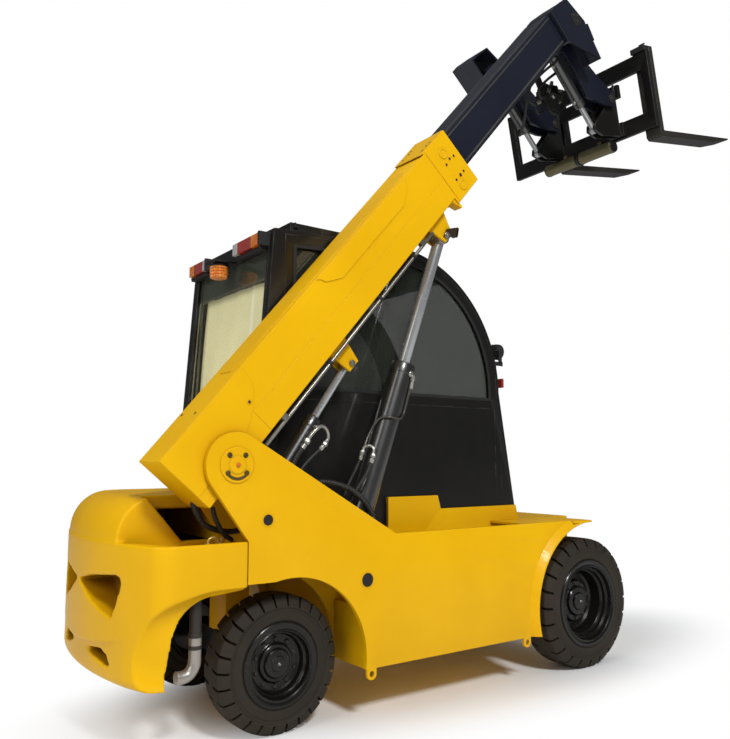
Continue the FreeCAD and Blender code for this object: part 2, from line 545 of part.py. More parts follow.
def axles():
    """Front axle with its housing and shafts, and the rear steering beam with its yokes."""
    piece = Piece("axles")
    wide = "FrontTrackHalf - FrontTyreWidth / 2 - 10"
    piece.pad("XZ", "-(%s)" % wide, wide, circle(FRONT_X, "FrontTyreRadius", "AxleTube"))
    piece.pad("XZ", "-150", "60", circle(FRONT_X, "FrontTyreRadius", "AxleHousing"))
    shaft = "FrontTrackHalf + 36"
    piece.pad("XZ", "-(%s)" % shaft, shaft, circle(FRONT_X, "FrontTyreRadius", "StubRadius"))
    piece.pad("XZ", "-KingpinHalf + 45", "KingpinHalf - 45",
              box("RearAxleX - 50", "RearAxleX + 50", "AxleBeamZ", "AxleTopZ"))
    for low, high in (("AxleBeamZ", "AxleBeamZ + YokePlate"), ("AxleTopZ - YokePlate", "AxleTopZ")):
        for side in (1, -1):
            near, far = side_span(side, "KingpinHalf - 50", "KingpinHalf + 32")
            piece.pad("XY", low, high, box("RearAxleX - 40", "RearAxleX + 40", near, far))
            piece.cut("XY", low, high, circle("RearAxleX", "%d * KingpinHalf" % side,
                                              "KingpinRadius + RunningGap"))


def knuckle(side):
    """Steering knuckle: kingpin, body between the axle's yokes, and stub axle."""
    piece = Piece("knuckle_left" if side > 0 else "knuckle_right",
                  at=("RearAxleX", "%d * KingpinHalf" % side, "RearTyreRadius"))
    piece.pad("XY", "-58", "58", circle("0", "0", "KingpinRadius"))
    piece.pad("XY", "-37", "37", circle("0", "0", "30"))
    low, high = side_span(side, "0", "RearTrackHalf - KingpinHalf + 36")
    piece.pad("XZ", low, high, circle("0", "0", "StubRadius"))


def wheel(label, axle_x, track, radius, width, rim, side):
    """Solid tyre and dished rim, turned about the axle."""
    at = (axle_x, "%d * %s" % (side, track), radius)
    tyre = Piece(label.replace("wheel", "tyre"), at=at)
    half = "%s / 2" % width
    tyre.spin("YZ", [("-(%s) + 12" % half, rim), (half + " - 12", rim),
                     (half, rim + " + 30"), (half, radius + " - 40"),
                     (half + " - 26", radius), ("26 - (%s)" % half, radius),
                     ("-(%s)" % half, radius + " - 40"), ("-(%s)" % half, rim + " + 30")])
    for end in (1, -1):
        shift = "0" if end > 0 else "%s * tan(180 / LugCount * 1 deg)" % radius
        inner, outer = side_span(end, half + " - LugLength", half + " + 5")
        lean = ("LugLean", "0") if end > 0 else ("0", "-LugLean")
        slot = tyre.cut("XY", radius + " - LugDepth", radius + " + 5",
                        [("%s + %s - LugSlot / 2" % (shift, lean[0]), inner),
                         ("%s + %s + LugSlot / 2" % (shift, lean[0]), inner),
                         ("%s + %s + LugSlot / 2" % (shift, lean[1]), outer),
                         ("%s + %s - LugSlot / 2" % (shift, lean[1]), outer)])
        tyre.repeat(slot, "LugCount")
    disc = Piece(label.replace("wheel", "rim"), at=at)
    well, edge = "%s - SeatGap" % rim, half + " - 12"
    profile = [("-(%s)" % edge, well), ("-(%s)" % edge, well + " - 12"), ("-6", well + " - 20"),
               ("4", "100"), ("4", "StubRadius + RunningGap"), ("40", "StubRadius + RunningGap"),
               ("40", "72"),
               ("22", "84"), ("20", "108"), ("16", well + " - 34"), (edge + " - 10", well + " - 14"),
               (edge, well + " - 10"), (edge, well)]
    if side < 0:
        profile = [("-(%s)" % point[0], point[1]) for point in profile]
    disc.spin("YZ", profile)


def cab_outline(inset="0"):
    """Side profile of the cab, without its round nose, drawn in by an inset."""
    return [("CabRearFootX + %s" % inset, "CabFloorZ"),
            ("CabFrontFootX - %s" % inset, "CabFloorZ"),
            ("CabNoseX + CabNose - %s" % inset, "CabRoofZ - CabNose"),
            ("CabNoseX", "CabRoofZ - CabNose"),
            ("CabNoseX", "CabRoofZ - %s" % inset),
            ("CabRearTopX + %s" % inset, "CabRoofZ - CabRoofFall - %s" % inset)]


def rear_wall_x(height):
    """X of the cab's leaning rear wall at a height."""
    return ("CabRearFootX + (CabRearTopX - CabRearFootX) * (%s - CabFloorZ)"
            " / (CabRoofZ - CabRoofFall - CabFloorZ)" % height)


def cab_side(piece, low, high, inset="0"):
    """A slab of the cab's side profile between two levels across the machine."""
    nose = circle("CabNoseX", "CabRoofZ - CabNose", "CabNose - %s" % inset)
    piece.pad("XZ", low, high, cab_outline(inset))
    piece.pad("XZ", low, high, nose)


def below(level):
    """A box in the XZ plane from under the ground up to a level, longer than the machine."""
    return box("CabRearFootX - CabNose", "CabFrontFootX + CabNose", "-CabNose", level)


def above(level):
    return box("CabRearFootX - CabNose", "CabFrontFootX + CabNose", level, "CabRoofZ + CabNose")


def right_window():
    """The quarter-round window of the cab's right wall."""
    return [("CabRearTopX + RearPost", "WindowSillZ"),
            ("CabNoseX + CabNose - WindowBorder", "WindowSillZ"),
            ("CabNoseX + CabNose - WindowBorder", "CabRoofZ - CabNose"),
            ("CabNoseX", "CabRoofZ - WindowBorder", "CabNoseX", "CabRoofZ - CabNose", 1),
            ("CabRearTopX + RearPost", "CabRoofZ - WindowBorder - 30")]


def left_window():
    """The window behind the door."""
    return box("CabRearTopX + RearPost", "DoorRearX - WindowBorder", "WindowSillZ",
               "CabRoofZ - RearPost")


def cab_shell():
    inner_low, inner_high = "CabRight + CabWall", "CabLeft - CabWall"
    right = Piece("cab_right_wall")
    cab_side(right, "CabRight", inner_low)
    right.cut("XZ", "CabRight", inner_low, right_window())
    right.cut("XZ", "CabRight", inner_low, below("CabFloorZ"))
    left = Piece("cab_left_frame")
    cab_side(left, inner_high, "CabLeft")
    left.cut("XZ", inner_high, "CabLeft", below("CabFloorZ"))
    left.cut("XZ", inner_high, "CabLeft", left_window())
    left.cut("XZ", inner_high, "CabLeft", door_outline("0"))
    hinge(left, "HingeLeaf", -1)
    # the band between the side walls: roof, and the rear and front walls with their windows
    for label in ("cab_roof", "cab_end_walls"):
        piece = Piece(label)
        cab_side(piece, inner_low, inner_high)
        hollow = cab_outline("CabWall")
        hollow[0] = ("CabRearFootX + CabWall", "0")
        hollow[1] = ("CabFrontFootX - CabWall", "0")
        piece.cut("XZ", inner_low, inner_high, hollow)
        piece.cut("XZ", inner_low, inner_high,
                  circle("CabNoseX", "CabRoofZ - CabNose", "CabNose - CabWall"))
        split = "CabRoofZ - RoofBand"
        piece.cut("XZ", inner_low, inner_high,
                  below(split) if label == "cab_roof" else above(split))
        if label == "cab_roof":
            piece.pad("XY", "CabRoofZ - CabWall", "CabRoofZ + RoofBoxRise",
                      box("RoofBoxRearX", "RoofBoxFrontX", inner_low, inner_high))
            continue
        piece.cut("XZ", inner_low, inner_high, below("CabFloorZ"))
        for x, sill in ((("CabRearFootX - CabWall", "CabNoseX"), "RearSillZ"),
                        (("CabNoseX", "CabFrontFootX + CabWall"), "ScreenSillZ")):
            piece.cut("YZ", *x, box(inner_low + " + ScreenFrame", inner_high + " - ScreenFrame",
                                    sill, "ScreenTopZ"))


def door_outline(gap):
    """The door's outline on the cab's left side, drawn in by a gap all round."""
    return [("DoorRearX + %s" % gap, "CabFloorZ + DoorFrame + %s" % gap),
            ("CabFrontFootX - 75 - %s" % gap, "CabFloorZ + DoorFrame + %s" % gap),
            ("CabNoseX + CabNose - DoorFrame - %s" % gap, "CabRoofZ - CabNose"),
            ("CabNoseX", "CabRoofZ - DoorFrame - %s" % gap, "CabNoseX", "CabRoofZ - CabNose", 1),
            ("DoorRearX + %s" % gap, "CabRoofZ - DoorFrame - %s" % gap)]


def hinge(piece, leaf, way):
    """Hinge barrels outside the door's rear edge with leaves to the front (1) or rear (-1)."""
    axis_x, axis_y = "DoorRearX", "CabLeft + HingeRadius + SeatGap"
    drop = "0" if way > 0 else "(HingeBarrel + 1)"
    for foot in ("HingeLowZ", "HingeHighZ"):
        low, high = "%s - %s" % (foot, drop), "%s - %s + HingeBarrel" % (foot, drop)
        piece.pad("XY", low, high, circle(axis_x, axis_y, "HingeRadius"))
        ends = (axis_x, axis_x + " + " + leaf) if way > 0 else (axis_x + " - " + leaf, axis_x)
        piece.pad("XY", low, high, box(*ends, "CabLeft", "CabLeft + 4"))


def door_window():
    return [("DoorRearX + DoorPost", "DoorSillZ"), ("CabNoseX + CabNose - 150", "DoorSillZ"),
            ("CabNoseX + CabNose - 150", "CabRoofZ - CabNose"),
            ("DoorRearX + DoorPost", "CabRoofZ - 152", "CabNoseX", "CabRoofZ - CabNose", 1)]


def cab_door():
    door = Piece("cab_door")
    low, high = "CabLeft - CabWall", "CabLeft"
    door.pad("XZ", low, high, door_outline("DoorGap"))
    door.cut("XZ", low, high, door_window())
    hinge(door, "HingeLeaf", 1)
    glass = Piece("door_glass")
    middle = "CabLeft - CabWall / 2"
    glass.pad("XZ", middle + " - GlassThick / 2", middle + " + GlassThick / 2", door_window())


def cab_glass():
    """All fixed panes; the windscreen and rear pane follow the bend of their walls."""
    glass = Piece("cab_glass")
    low, high = "CabRight + CabWall + ScreenFrame", "CabLeft - CabWall - ScreenFrame"
    cab_side(glass, low, high, "GlassInset")
    hollow = cab_outline("(GlassInset + GlassThick)")
    hollow[0] = (hollow[0][0], "0")
    hollow[1] = (hollow[1][0], "0")
    glass.cut("XZ", low, high, hollow)
    glass.cut("XZ", low, high, circle("CabNoseX", "CabRoofZ - CabNose",
                                      "CabNose - GlassInset - GlassThick"))
    glass.cut("XZ", low, high, above("ScreenTopZ"))
    glass.cut("XZ", low, high, box("CabRearFootX - CabWall", "CabNoseX", "0", "RearSillZ"))
    glass.cut("XZ", low, high, box("CabNoseX", "CabFrontFootX + CabWall", "0", "ScreenSillZ"))
    for middle, window in (("CabRight + CabWall / 2", right_window()),
                           ("CabLeft - CabWall / 2", left_window())):
        glass.pad("XZ", middle + " - GlassThick / 2", middle + " + GlassThick / 2", window)


def cab_inside():
    seat = Piece("operator_seat")
    seat.pad("XZ", "SeatRight", "SeatLeft",
             [("SeatX", "DeckZ"), ("SeatX + 400", "DeckZ"), ("SeatX + 460", "SeatTopZ - 110"),
              ("SeatX + 460", "SeatTopZ"), ("SeatX + 60", "SeatTopZ - 40"),
              ("SeatX - 20", "BackTopZ"), ("SeatX - 110", "BackTopZ"),
              ("SeatX - 70", "SeatTopZ - 110")])
    column = Piece("steering_column")
    column.pad("XZ", "ColumnY - ColumnHalf", "ColumnY + ColumnHalf",
               [("ColumnX", "DeckZ"), ("ColumnX + 100", "DeckZ"), ("ColumnX - 130", "WheelZ"),
                ("ColumnX - 190", "WheelZ")])
    column.pad("XY", "WheelZ", "WheelZ + WheelRim", circle("WheelX", "ColumnY", "WheelRadius"),
               circle("WheelX", "ColumnY", "WheelRadius - WheelRim"))
    column.pad("XY", "WheelZ", "WheelZ + WheelRim / 2",
               box("WheelX - WheelRadius + WheelRim / 2", "WheelX + WheelRadius - WheelRim / 2",
                   "ColumnY - WheelRim", "ColumnY + WheelRim"))


def lamps():
    """Tail lamps and beacon on the rear wall, and the work lamp on the front right post."""
    lamp = Piece("cab_lamps")
    wall = rear_wall_x("LampZ")
    for low, high in (("CabRight + 36", "20"), ("CabLeft - 270", "CabLeft - 10")):
        lamp.pad("YZ", wall + " - LampDeep", wall, box(low, high, "LampZ", "LampZ + LampTall"))
    bracket = ("CabRight - BracketSheet", "CabRight")
    lamp.pad("XZ", *bracket, [("WorkLampX - 100", "WorkLampZ - 90"),
                              ("WorkLampX - 50", "WorkLampZ - 90"),
                              ("WorkLampX + WorkLampLong - 10", "WorkLampZ - 20"),
                              ("WorkLampX + WorkLampLong - 10", "WorkLampZ + 10"),
                              ("WorkLampX - 100", "WorkLampZ - 50")])
    lamp.pad("YZ", "WorkLampX", "WorkLampX + WorkLampLong",
             circle("WorkLampY", "WorkLampZ", "WorkLampRadius"))
    beacon = Piece("beacon")
    wall = rear_wall_x("BeaconPlateZ")
    centre = "CabRearTopX - BeaconBack"
    beacon.pad("XY", "BeaconZ", "BeaconPlateZ", circle(centre, "BeaconY", "BeaconRadius"))
    beacon.pad("XY", "BeaconPlateZ", "BeaconPlateZ + 8",
               box(centre + " - BeaconRadius - 4", wall, "BeaconY - BeaconRadius - 10",
                   "BeaconY + BeaconRadius + 10"))


def boom():
    """Outer boom section, a welded box with a collar at its mouth, in its own axes."""
    outer = Piece("boom_outer", at=("PivotX", "BoomY", "PivotZ"), raised="BoomAngle")
    low, high = "-BoomHalf", "BoomHalf"
    outer.pad("XZ", low, high, box("-BoomTail", "BoomEnd", "-BoomBelow", "BoomAbove"))
    outer.pad("XZ", "-BoomHalf", "BoomHalf",
              box("CollarStart", "BoomEnd", "-BoomBelow - CollarDrop", "BoomAbove + CollarLip"))
    outer.cut("XZ", "BoomSheet - BoomHalf", "BoomHalf - BoomSheet",
              box("-BoomTail + TailPlate", "BoomEnd + 10", "BoomSheet - BoomBelow",
                  "BoomAbove - BoomSheet"))
    outer.pad("XZ", "BoomSheet - BoomHalf", "BoomHalf - BoomSheet",
              circle("0", "0", "PivotPin + 15"))
    outer.cut("XZ", "-BoomHalf", "BoomHalf", circle("0", "0", "PivotPin + RunningGap"))
    # pads at the mouth that the inner section runs on
    for span, loop in (
            (("-InnerHalf", "InnerHalf"), box("CollarStart + PadStart", "BoomEnd",
                                              "BoomSheet - BoomBelow", "InnerLow - SeatGap")),
            (("-InnerHalf", "InnerHalf"), box("CollarStart + PadStart", "BoomEnd",
                                              "InnerHigh + SeatGap", "BoomAbove - BoomSheet")),
            (("InnerHalf + SeatGap", "BoomHalf - BoomSheet"),
             box("CollarStart + PadStart", "BoomEnd", "InnerLow", "InnerHigh")),
            (("BoomSheet - BoomHalf", "-InnerHalf - SeatGap"),
             box("CollarStart + PadStart", "BoomEnd", "InnerLow", "InnerHigh"))):
        outer.pad("XZ", span[0], span[1], loop)
    # ears for the lift rod and the levelling rod
    for half in (1, -1):
        near, far = side_span(half, "LiftEyeHalf + LugGap", "LiftEyeHalf + LugGap + LugPlate")
        outer.pad("XZ", near, far,
                  [("LiftTopAlong - 78", "-BoomBelow"), ("LiftTopAlong - 30", "-LiftTopBelow - 20"),
                   ("LiftTopAlong + 40", "-LiftTopBelow - 20"),
                   ("LiftTopAlong + 90", "-BoomBelow")])
        near, far = side_span(half, "LevelEyeHalf + LugGap", "LevelEyeHalf + LugGap + LugPlate")
        outer.pad("XZ", near, far,
                  [("LevelTopAlong - 60", "-BoomBelow"),
                   ("LevelTopAlong - 36", "-LevelTopBelow - 20"),
                   ("LevelTopAlong + 36", "-LevelTopBelow - 20"),
                   ("LevelTopAlong + 70", "-BoomBelow")])
    pin = Piece("frame_pins")
    pin.pad("XZ", "-SideFace - PinHead", "FramePlate - FrameInner",
            circle("PivotX", "PivotZ", "PivotPin"))
    for base_x, base_z, eye in (("LiftBaseX", "LiftBaseZ", "LiftEye"),
                                ("LevelBaseX", "LevelBaseZ", "LevelEye")):
        pin.pad("XZ", "-(%s)" % FACE, "-FrameInner",
                circle(base_x, base_z, eye + " / 2 - 2 * RunningGap"))
    pipe = Piece("boom_pipe", at=("PivotX", "BoomY", "PivotZ"), raised="BoomAngle")
    pipe.pad("YZ", "165", "LiftTopAlong - 100", circle("20 - BoomHalf", "-BoomBelow - PipeOffset", "LineRadius"))
    pipe.pad("YZ", "300", "330", box("8 - BoomHalf", "34 - BoomHalf", "-BoomBelow - PipeOffset",
                                     "-BoomBelow"))
    pipe.pad("YZ", "1500", "1530", box("8 - BoomHalf", "34 - BoomHalf", "-BoomBelow - PipeOffset",
                                       "-BoomBelow"))

    inner = Piece("boom_inner", at=("PivotX", "BoomY", "PivotZ"), raised="BoomAngle")
    inner.pad("XZ", "-InnerHalf", "InnerHalf",
              box("InnerStart", "InnerEnd", "InnerLow", "InnerHigh"))
    inner.cut("XZ", "BoomSheet - InnerHalf", "InnerHalf - BoomSheet",
              box("InnerStart - 10", "InnerEnd - 20", "InnerLow + BoomSheet",
                  "InnerHigh - BoomSheet"))
    inner.pad("XZ", "-InnerHalf", "InnerHalf",
              box("InnerStart", "InnerStart + InnerPad", "BoomSheet - BoomBelow + SeatGap", "InnerLow"))
    inner.pad("XZ", "-InnerHalf", "InnerHalf",
              box("InnerStart", "InnerStart + InnerPad", "InnerHigh",
                  "BoomAbove - BoomSheet - SeatGap"))
    for half in (1, -1):
        near, far = side_span(half, "InnerHalf", "BoomHalf - BoomSheet - SeatGap")
        inner.pad("XZ", near, far, box("InnerStart", "InnerStart + InnerPad", "InnerLow", "InnerHigh"))


def boom_head():
    """Gooseneck head: two open boxes, four arm plates and the cross tube between them."""
    head = Piece("boom_head", at=("PivotX", "0", "PivotZ"), raised="BoomAngle")
    shape = [("InnerEnd", "22"), ("InnerEnd", "230"), ("InnerEnd + 61", "232"),
             ("InnerEnd + 202", "211"), ("InnerEnd + 249", "27"), ("InnerEnd + 200", "-228")]
    inside = [("InnerEnd + HeadSheet", "0"), ("InnerEnd + HeadSheet", "218"),
              ("InnerEnd + 61", "220"), ("InnerEnd + 193", "200"), ("InnerEnd + 237", "27"),
              ("InnerEnd + 180", "-300")]
    right, left = "HeadCentreY", "HeadCentreY + HeadSpacing"
    head.pad("XZ", right + " - HeadHalf", right + " + HeadHalf", shape)
    head.cut("XZ", right + " - HeadHalf + HeadSheet", right + " + HeadHalf", inside)
    head.pad("XZ", left + " - HeadHalf", left + " + HeadHalf", shape)
    head.cut("XZ", left + " - HeadHalf", left + " + HeadHalf - HeadSheet", inside)
    arm = [("InnerEnd + 100", "100"), ("InnerEnd + 225", "100"), ("InnerEnd + 249", "27"),
           ("InnerEnd + 257", "-229"), ("InnerEnd + 285", "-360"),
           ("CarriagePinAlong + 48", "-CarriagePinBelow"),
           ("CarriagePinAlong - 20", "-CarriagePinBelow - 50"),
           ("CarriagePinAlong - 98", "-CarriagePinBelow + 17"),
           ("InnerEnd + 71", "-374"), ("InnerEnd + 100", "-200")]
    for offset in ("0", "TiltSpacing"):
        for half in (1, -1):
            near, far = side_span(half, "ArmGap / 2", "ArmGap / 2 + ArmPlate")
            centre = "TiltY + %s" % offset
            head.pad("XZ", "%s + %s" % (centre, near), "%s + %s" % (centre, far), arm)
            head.pad("XZ", "%s + %s" % (centre, near), "%s + %s" % (centre, far),
                     circle("TiltTopAlong", "-TiltTopBelow", "34"))
            head.pad("XZ", "%s + %s" % (centre, near), "%s + %s" % (centre, far),
                     box("TiltTopAlong", "InnerEnd + 110", "-TiltTopBelow - 34",
                         "-TiltTopBelow + 34"))
        head.pad("XZ", "TiltY + %s - ArmGap / 2" % offset, "TiltY + %s + ArmGap / 2" % offset,
                 circle("CarriagePinAlong", "-CarriagePinBelow", "CarriagePinRadius"))
        head.pad("XZ", "TiltY + %s - ArmGap / 2" % offset, "TiltY + %s + ArmGap / 2" % offset,
                 circle("TiltTopAlong", "-TiltTopBelow", "TiltPin"))
    head.pad("XZ", "TiltY + ArmGap / 2", "TiltY + TiltSpacing - ArmGap / 2",
             box("InnerEnd + 130", "InnerEnd + 220", "-60", "60"))


def carriage_pin():
    return on_boom("CarriagePinAlong", "-CarriagePinBelow")


def tilt_rod_pin():
    return on_boom("TiltRodAlong", "-TiltRodBelow")


def carriage():
    """Tilting frame with its ears, the shifting fork carriage and two forks."""
    pin = carriage_pin()
    frame = Piece("tilt_frame", at=(pin[0], "0", pin[1]), raised="CarriageTilt")
    ear = [("-40", "40"), ("60", "60"), ("CarriageFaceX - BarThick - 30", "120"),
           ("CarriageFaceX - BarThick - 30", "-240"), ("-120", "-250"), ("-200", "-215"),
           ("-190", "-175"), ("-60", "-60")]
    for offset in ("0", "TiltSpacing"):
        for half in (1, -1):
            near, far = side_span(half, "20", "36")
            centre = "TiltY + %s" % offset
            frame.pad("XZ", "%s + %s" % (centre, near), "%s + %s" % (centre, far), ear)
            frame.cut("XZ", "%s + %s" % (centre, near), "%s + %s" % (centre, far),
                      circle("0", "0", "CarriagePinRadius + RunningGap"))
    for low, high in (("20", "110"), ("-240", "-150")):
        frame.pad("XZ", "TiltY - 60", "TiltY + TiltSpacing + 60",
                  box("CarriageFaceX - BarThick - 31", "CarriageFaceX - BarThick - SeatGap",
                      low, high))
    shift = Piece("side_shift_cylinder", at=(pin[0], "0", pin[1]), raised="CarriageTilt")
    for low, high in (("-390", "-110"), ("-90", "190")):
        shift.pad("XZ", low, high, circle("ShiftX", "ShiftZ", "ShiftRadius"))
    shift.pad("XZ", "-110", "-90", circle("ShiftX", "ShiftZ", "ShiftJoint"))
    for y in ("-300", "80"):
        shift.pad("XZ", y, y + " + 30", box("ShiftX", "ShiftX + 80", "ShiftZ + 2", "ShiftZ + 62"))

    carrier = Piece("fork_carriage", at=(pin[0], "CarriageY", pin[1]), raised="CarriageTilt")
    low, high = "-CarriageHalf", "CarriageHalf"
    back = "CarriageFaceX - BarThick"
    carrier.pad("XZ", low, high, box(back, "CarriageFaceX", "CarriageHalfHeight - BarTall",
                                     "CarriageHalfHeight"))
    carrier.pad("XZ", low, high, box(back, "CarriageFaceX", "-CarriageHalfHeight",
                                     "BarTall - CarriageHalfHeight"))
    for y in ("-CarriageHalf", "-170", "110", "CarriageHalf - 60"):
        carrier.pad("XZ", y, y + " + 60", box(back, "CarriageFaceX", "-CarriageHalfHeight",
                                              "CarriageHalfHeight"))
    for label, centre in (("fork_right", "ForkRightY"), ("fork_left", "ForkLeftY")):
        fork = Piece(label, at=(pin[0], centre, pin[1]), raised="CarriageTilt")
        face = "CarriageFaceX + SeatGap"
        fork.pad("XZ", "-ForkWide / 2", "ForkWide / 2",
                 [(face, "ForkTopZ"), (face, "ForkHeelZ + 20"), (face + " + 20", "ForkHeelZ"),
                  ("ForkTipX - 200", "ForkHeelZ"), ("ForkTipX", "ForkHeelZ + ForkThick - 10"),
                  ("ForkTipX", "ForkHeelZ + ForkThick"),
                  (face + " + ForkThick", "ForkHeelZ + ForkThick"),
                  (face + " + ForkThick", "ForkTopZ")])


def cylinder(name, base, top, y, radius, length, rod_radius, rod_length, eye, eye_half):
    """A hydraulic cylinder on the line between two pins: barrel and rod, each with its eye."""
    angle = heading(base, top)
    distance = "sqrt(pow((%s) - (%s); 2) + pow((%s) - (%s); 2))" % (
        top[0], base[0], top[1], base[1])
    barrel = Piece(name + "_barrel", at=(base[0], y, base[1]), raised=angle)
    bore = rod_radius + " + 2"
    start = eye + " - 8"
    barrel.spin("XZ", [(start, "0"), (length, "0"), (length, radius), (start, radius)])
    barrel.cut("YZ", eye + " + 20", length + " - 60", circle("0", "0", bore))
    barrel.cut("YZ", length + " - 60", length, circle("0", "0", rod_radius + " + RunningGap"))
    barrel.pad("XZ", "-" + eye_half, eye_half, circle("0", "0", eye))
    barrel.cut("XZ", "-" + eye_half, eye_half, circle("0", "0", eye + " / 2"))
    rod = Piece(name + "_rod", at=(top[0], y, top[1]), raised=angle)
    rod.pad("YZ", "-(%s)" % rod_length, "10 - (%s)" % eye, circle("0", "0", rod_radius))
    rod.pad("XZ", "-" + eye_half, eye_half, circle("0", "0", eye))
    return distance


def cylinders():
    lift_base = ("LiftBaseX", "LiftBaseZ")
    lift_top = on_boom("LiftTopAlong", "-LiftTopBelow")
    cylinder("lift", lift_base, lift_top, "BoomY", "LiftBarrelRadius", "LiftBarrelLength",
             "LiftRodRadius", "LiftRodLength", "LiftEye", "LiftEyeHalf")
    level_base = ("LevelBaseX", "LevelBaseZ")
    level_top = on_boom("LevelTopAlong", "-LevelTopBelow")
    cylinder("level", level_base, level_top, "BoomY", "LevelBarrelRadius", "LevelBarrelLength",
             "LevelRodRadius", "LevelRodLength", "LevelEye", "LevelEyeHalf")
    tops = on_boom("TiltTopAlong", "-TiltTopBelow")
    rods = tilt_rod_pin()
    angle = heading(tops, rods)
    barrels = Piece("tilt_barrels", at=(tops[0], "0", tops[1]), raised=angle)
    rods_piece = Piece("tilt_rods", at=(rods[0], "0", rods[1]), raised=angle)
    for offset in ("0", "TiltSpacing"):
        y = "TiltY + " + offset
        barrels.pad("YZ", "TiltEye - 4", "TiltBarrelLength", circle(y, "0", "TiltBarrelRadius"))
        barrels.pad("XZ", y + " - TiltEyeHalf", y + " + TiltEyeHalf", circle("0", "0", "TiltEye"))
        barrels.cut("YZ", "50", "TiltBarrelLength - 50", circle(y, "0", "TiltRodRadius + 2"))
        barrels.cut("YZ", "TiltBarrelLength - 50", "TiltBarrelLength",
                    circle(y, "0", "TiltRodRadius + RunningGap"))
        barrels.cut("XZ", y + " - TiltEyeHalf", y + " + TiltEyeHalf",
                    circle("0", "0", "TiltPin + RunningGap"))
        rods_piece.pad("YZ", "-TiltRodLength", "-10", circle(y, "0", "TiltRodRadius"))
        rods_piece.pad("XZ", y + " - 15", y + " + 15", circle("0", "0", "28"))


def build():
    chassis_frame()
    for side in (1, -1):
        frame_side(side)
    counterweight()
    engine_hood()
    engine_block()
    exhaust_pipe()
    axles()
    for side in (1, -1):
        knuckle(side)
        name = "left" if side > 0 else "right"
        wheel("front_wheel_" + name, FRONT_X, "FrontTrackHalf", "FrontTyreRadius",
              "FrontTyreWidth", "FrontRimRadius", side)
        wheel("rear_wheel_" + name, "RearAxleX", "RearTrackHalf", "RearTyreRadius",
              "RearTyreWidth", "RearRimRadius", side)
    cab_shell()
    cab_door()
    cab_glass()
    cab_inside()
    lamps()
    boom()
    boom_head()
    carriage()
    cylinders()


def write_parts():
    """Check every object and write each sub-part to its own file."""
    doc.recompute()
    for item in doc.Objects:
        if "Invalid" in item.State or "Error" in item.State:
            raise RuntimeError("%s is %s" % (item.Name, item.State))
    os.makedirs("parts", exist_ok=True)
    bad = [item.Label for item in PARTS
           if item.Shape.isNull() or not item.Shape.isValid() or not item.Shape.Solids]
    if bad:
        raise RuntimeError("no valid solid: " + ", ".join(bad))
    for item in PARTS:
        item.Shape.exportStep(os.path.join("parts", item.Label + ".step"))
        print("%-22s %2d solid(s) %9.0f cm3" % (item.Label, len(item.Shape.Solids),
                                                item.Shape.Volume / 1000))


build()
write_parts()
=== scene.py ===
"""A compact telehandler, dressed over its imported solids.

Lengths are in metres: +X forward, +Y to the machine's left, +Z up. The sections follow
the machine as it is put together, from the floor that it stands on to its forks.
"""
import bpy
import bmesh
import json
import math
from mathutils import Matrix, Vector


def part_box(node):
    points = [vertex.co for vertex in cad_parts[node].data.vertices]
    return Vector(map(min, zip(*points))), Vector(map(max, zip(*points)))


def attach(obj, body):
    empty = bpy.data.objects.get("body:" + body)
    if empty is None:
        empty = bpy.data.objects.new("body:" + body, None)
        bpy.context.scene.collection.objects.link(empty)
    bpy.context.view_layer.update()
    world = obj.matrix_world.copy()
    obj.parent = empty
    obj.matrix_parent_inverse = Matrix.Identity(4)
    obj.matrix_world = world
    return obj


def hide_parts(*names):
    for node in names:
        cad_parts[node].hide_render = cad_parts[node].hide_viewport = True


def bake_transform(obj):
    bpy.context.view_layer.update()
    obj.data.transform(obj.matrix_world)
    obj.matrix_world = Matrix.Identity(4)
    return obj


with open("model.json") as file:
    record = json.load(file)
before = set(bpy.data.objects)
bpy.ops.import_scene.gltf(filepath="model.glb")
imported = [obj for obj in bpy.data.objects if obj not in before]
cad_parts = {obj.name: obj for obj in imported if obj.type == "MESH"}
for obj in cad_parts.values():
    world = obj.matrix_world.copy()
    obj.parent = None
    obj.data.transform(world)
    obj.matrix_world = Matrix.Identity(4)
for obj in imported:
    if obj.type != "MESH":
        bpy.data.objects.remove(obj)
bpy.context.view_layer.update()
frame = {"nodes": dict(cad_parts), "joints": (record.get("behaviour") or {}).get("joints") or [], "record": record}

# ---- Camera: a plain 36 mm lens at chest height, behind the right rear wheel and turned
# up a little, so that the raised boom leads away from it.
camera_lens = bpy.data.cameras.new("camera")
camera_lens.lens = 36.67
camera_lens.sensor_width = 36
camera = bpy.data.objects.new("camera", camera_lens)
camera.location = (-3.08, -3.42, 1.16)
camera.rotation_euler = (math.radians(96.78), 0, math.radians(-35.71))
bpy.context.scene.collection.objects.link(camera)
bpy.context.scene.camera = camera
bpy.context.scene.view_settings.view_transform = "Standard"


# ---- Floor and light: a pale studio floor that turns to white away from the machine,
# under a soft key lamp on its right, weaker ones behind and above, and a white surround.
class Reading:
    """An output socket that works in Python expressions: each sign adds its Math node."""

    def __init__(self, nodes, socket):
        self.nodes = nodes
        self.socket = socket

    def worked(self, operation, *entries, limit=False):
        settings = {"operation": operation, "use_clamp": limit}
        return self.nodes.add("ShaderNodeMath", settings, dict(enumerate(entries)))

    def __add__(self, other):
        return self.worked("ADD", self, other)

    def __radd__(self, other):
        return self.worked("ADD", other, self)

    def __sub__(self, other):
        return self.worked("SUBTRACT", self, other)

    def __rsub__(self, other):
        return self.worked("SUBTRACT", other, self)

    def __mul__(self, other):
        return self.worked("MULTIPLY", self, other)

    def __rmul__(self, other):
        return self.worked("MULTIPLY", other, self)

    def __truediv__(self, other):
        return self.worked("DIVIDE", self, other)

    def __rtruediv__(self, other):
        return self.worked("DIVIDE", other, self)

    def __pow__(self, other):
        return self.worked("POWER", self, other)

    def limited(self):
        return self.worked("ADD", self, 0.0, limit=True)


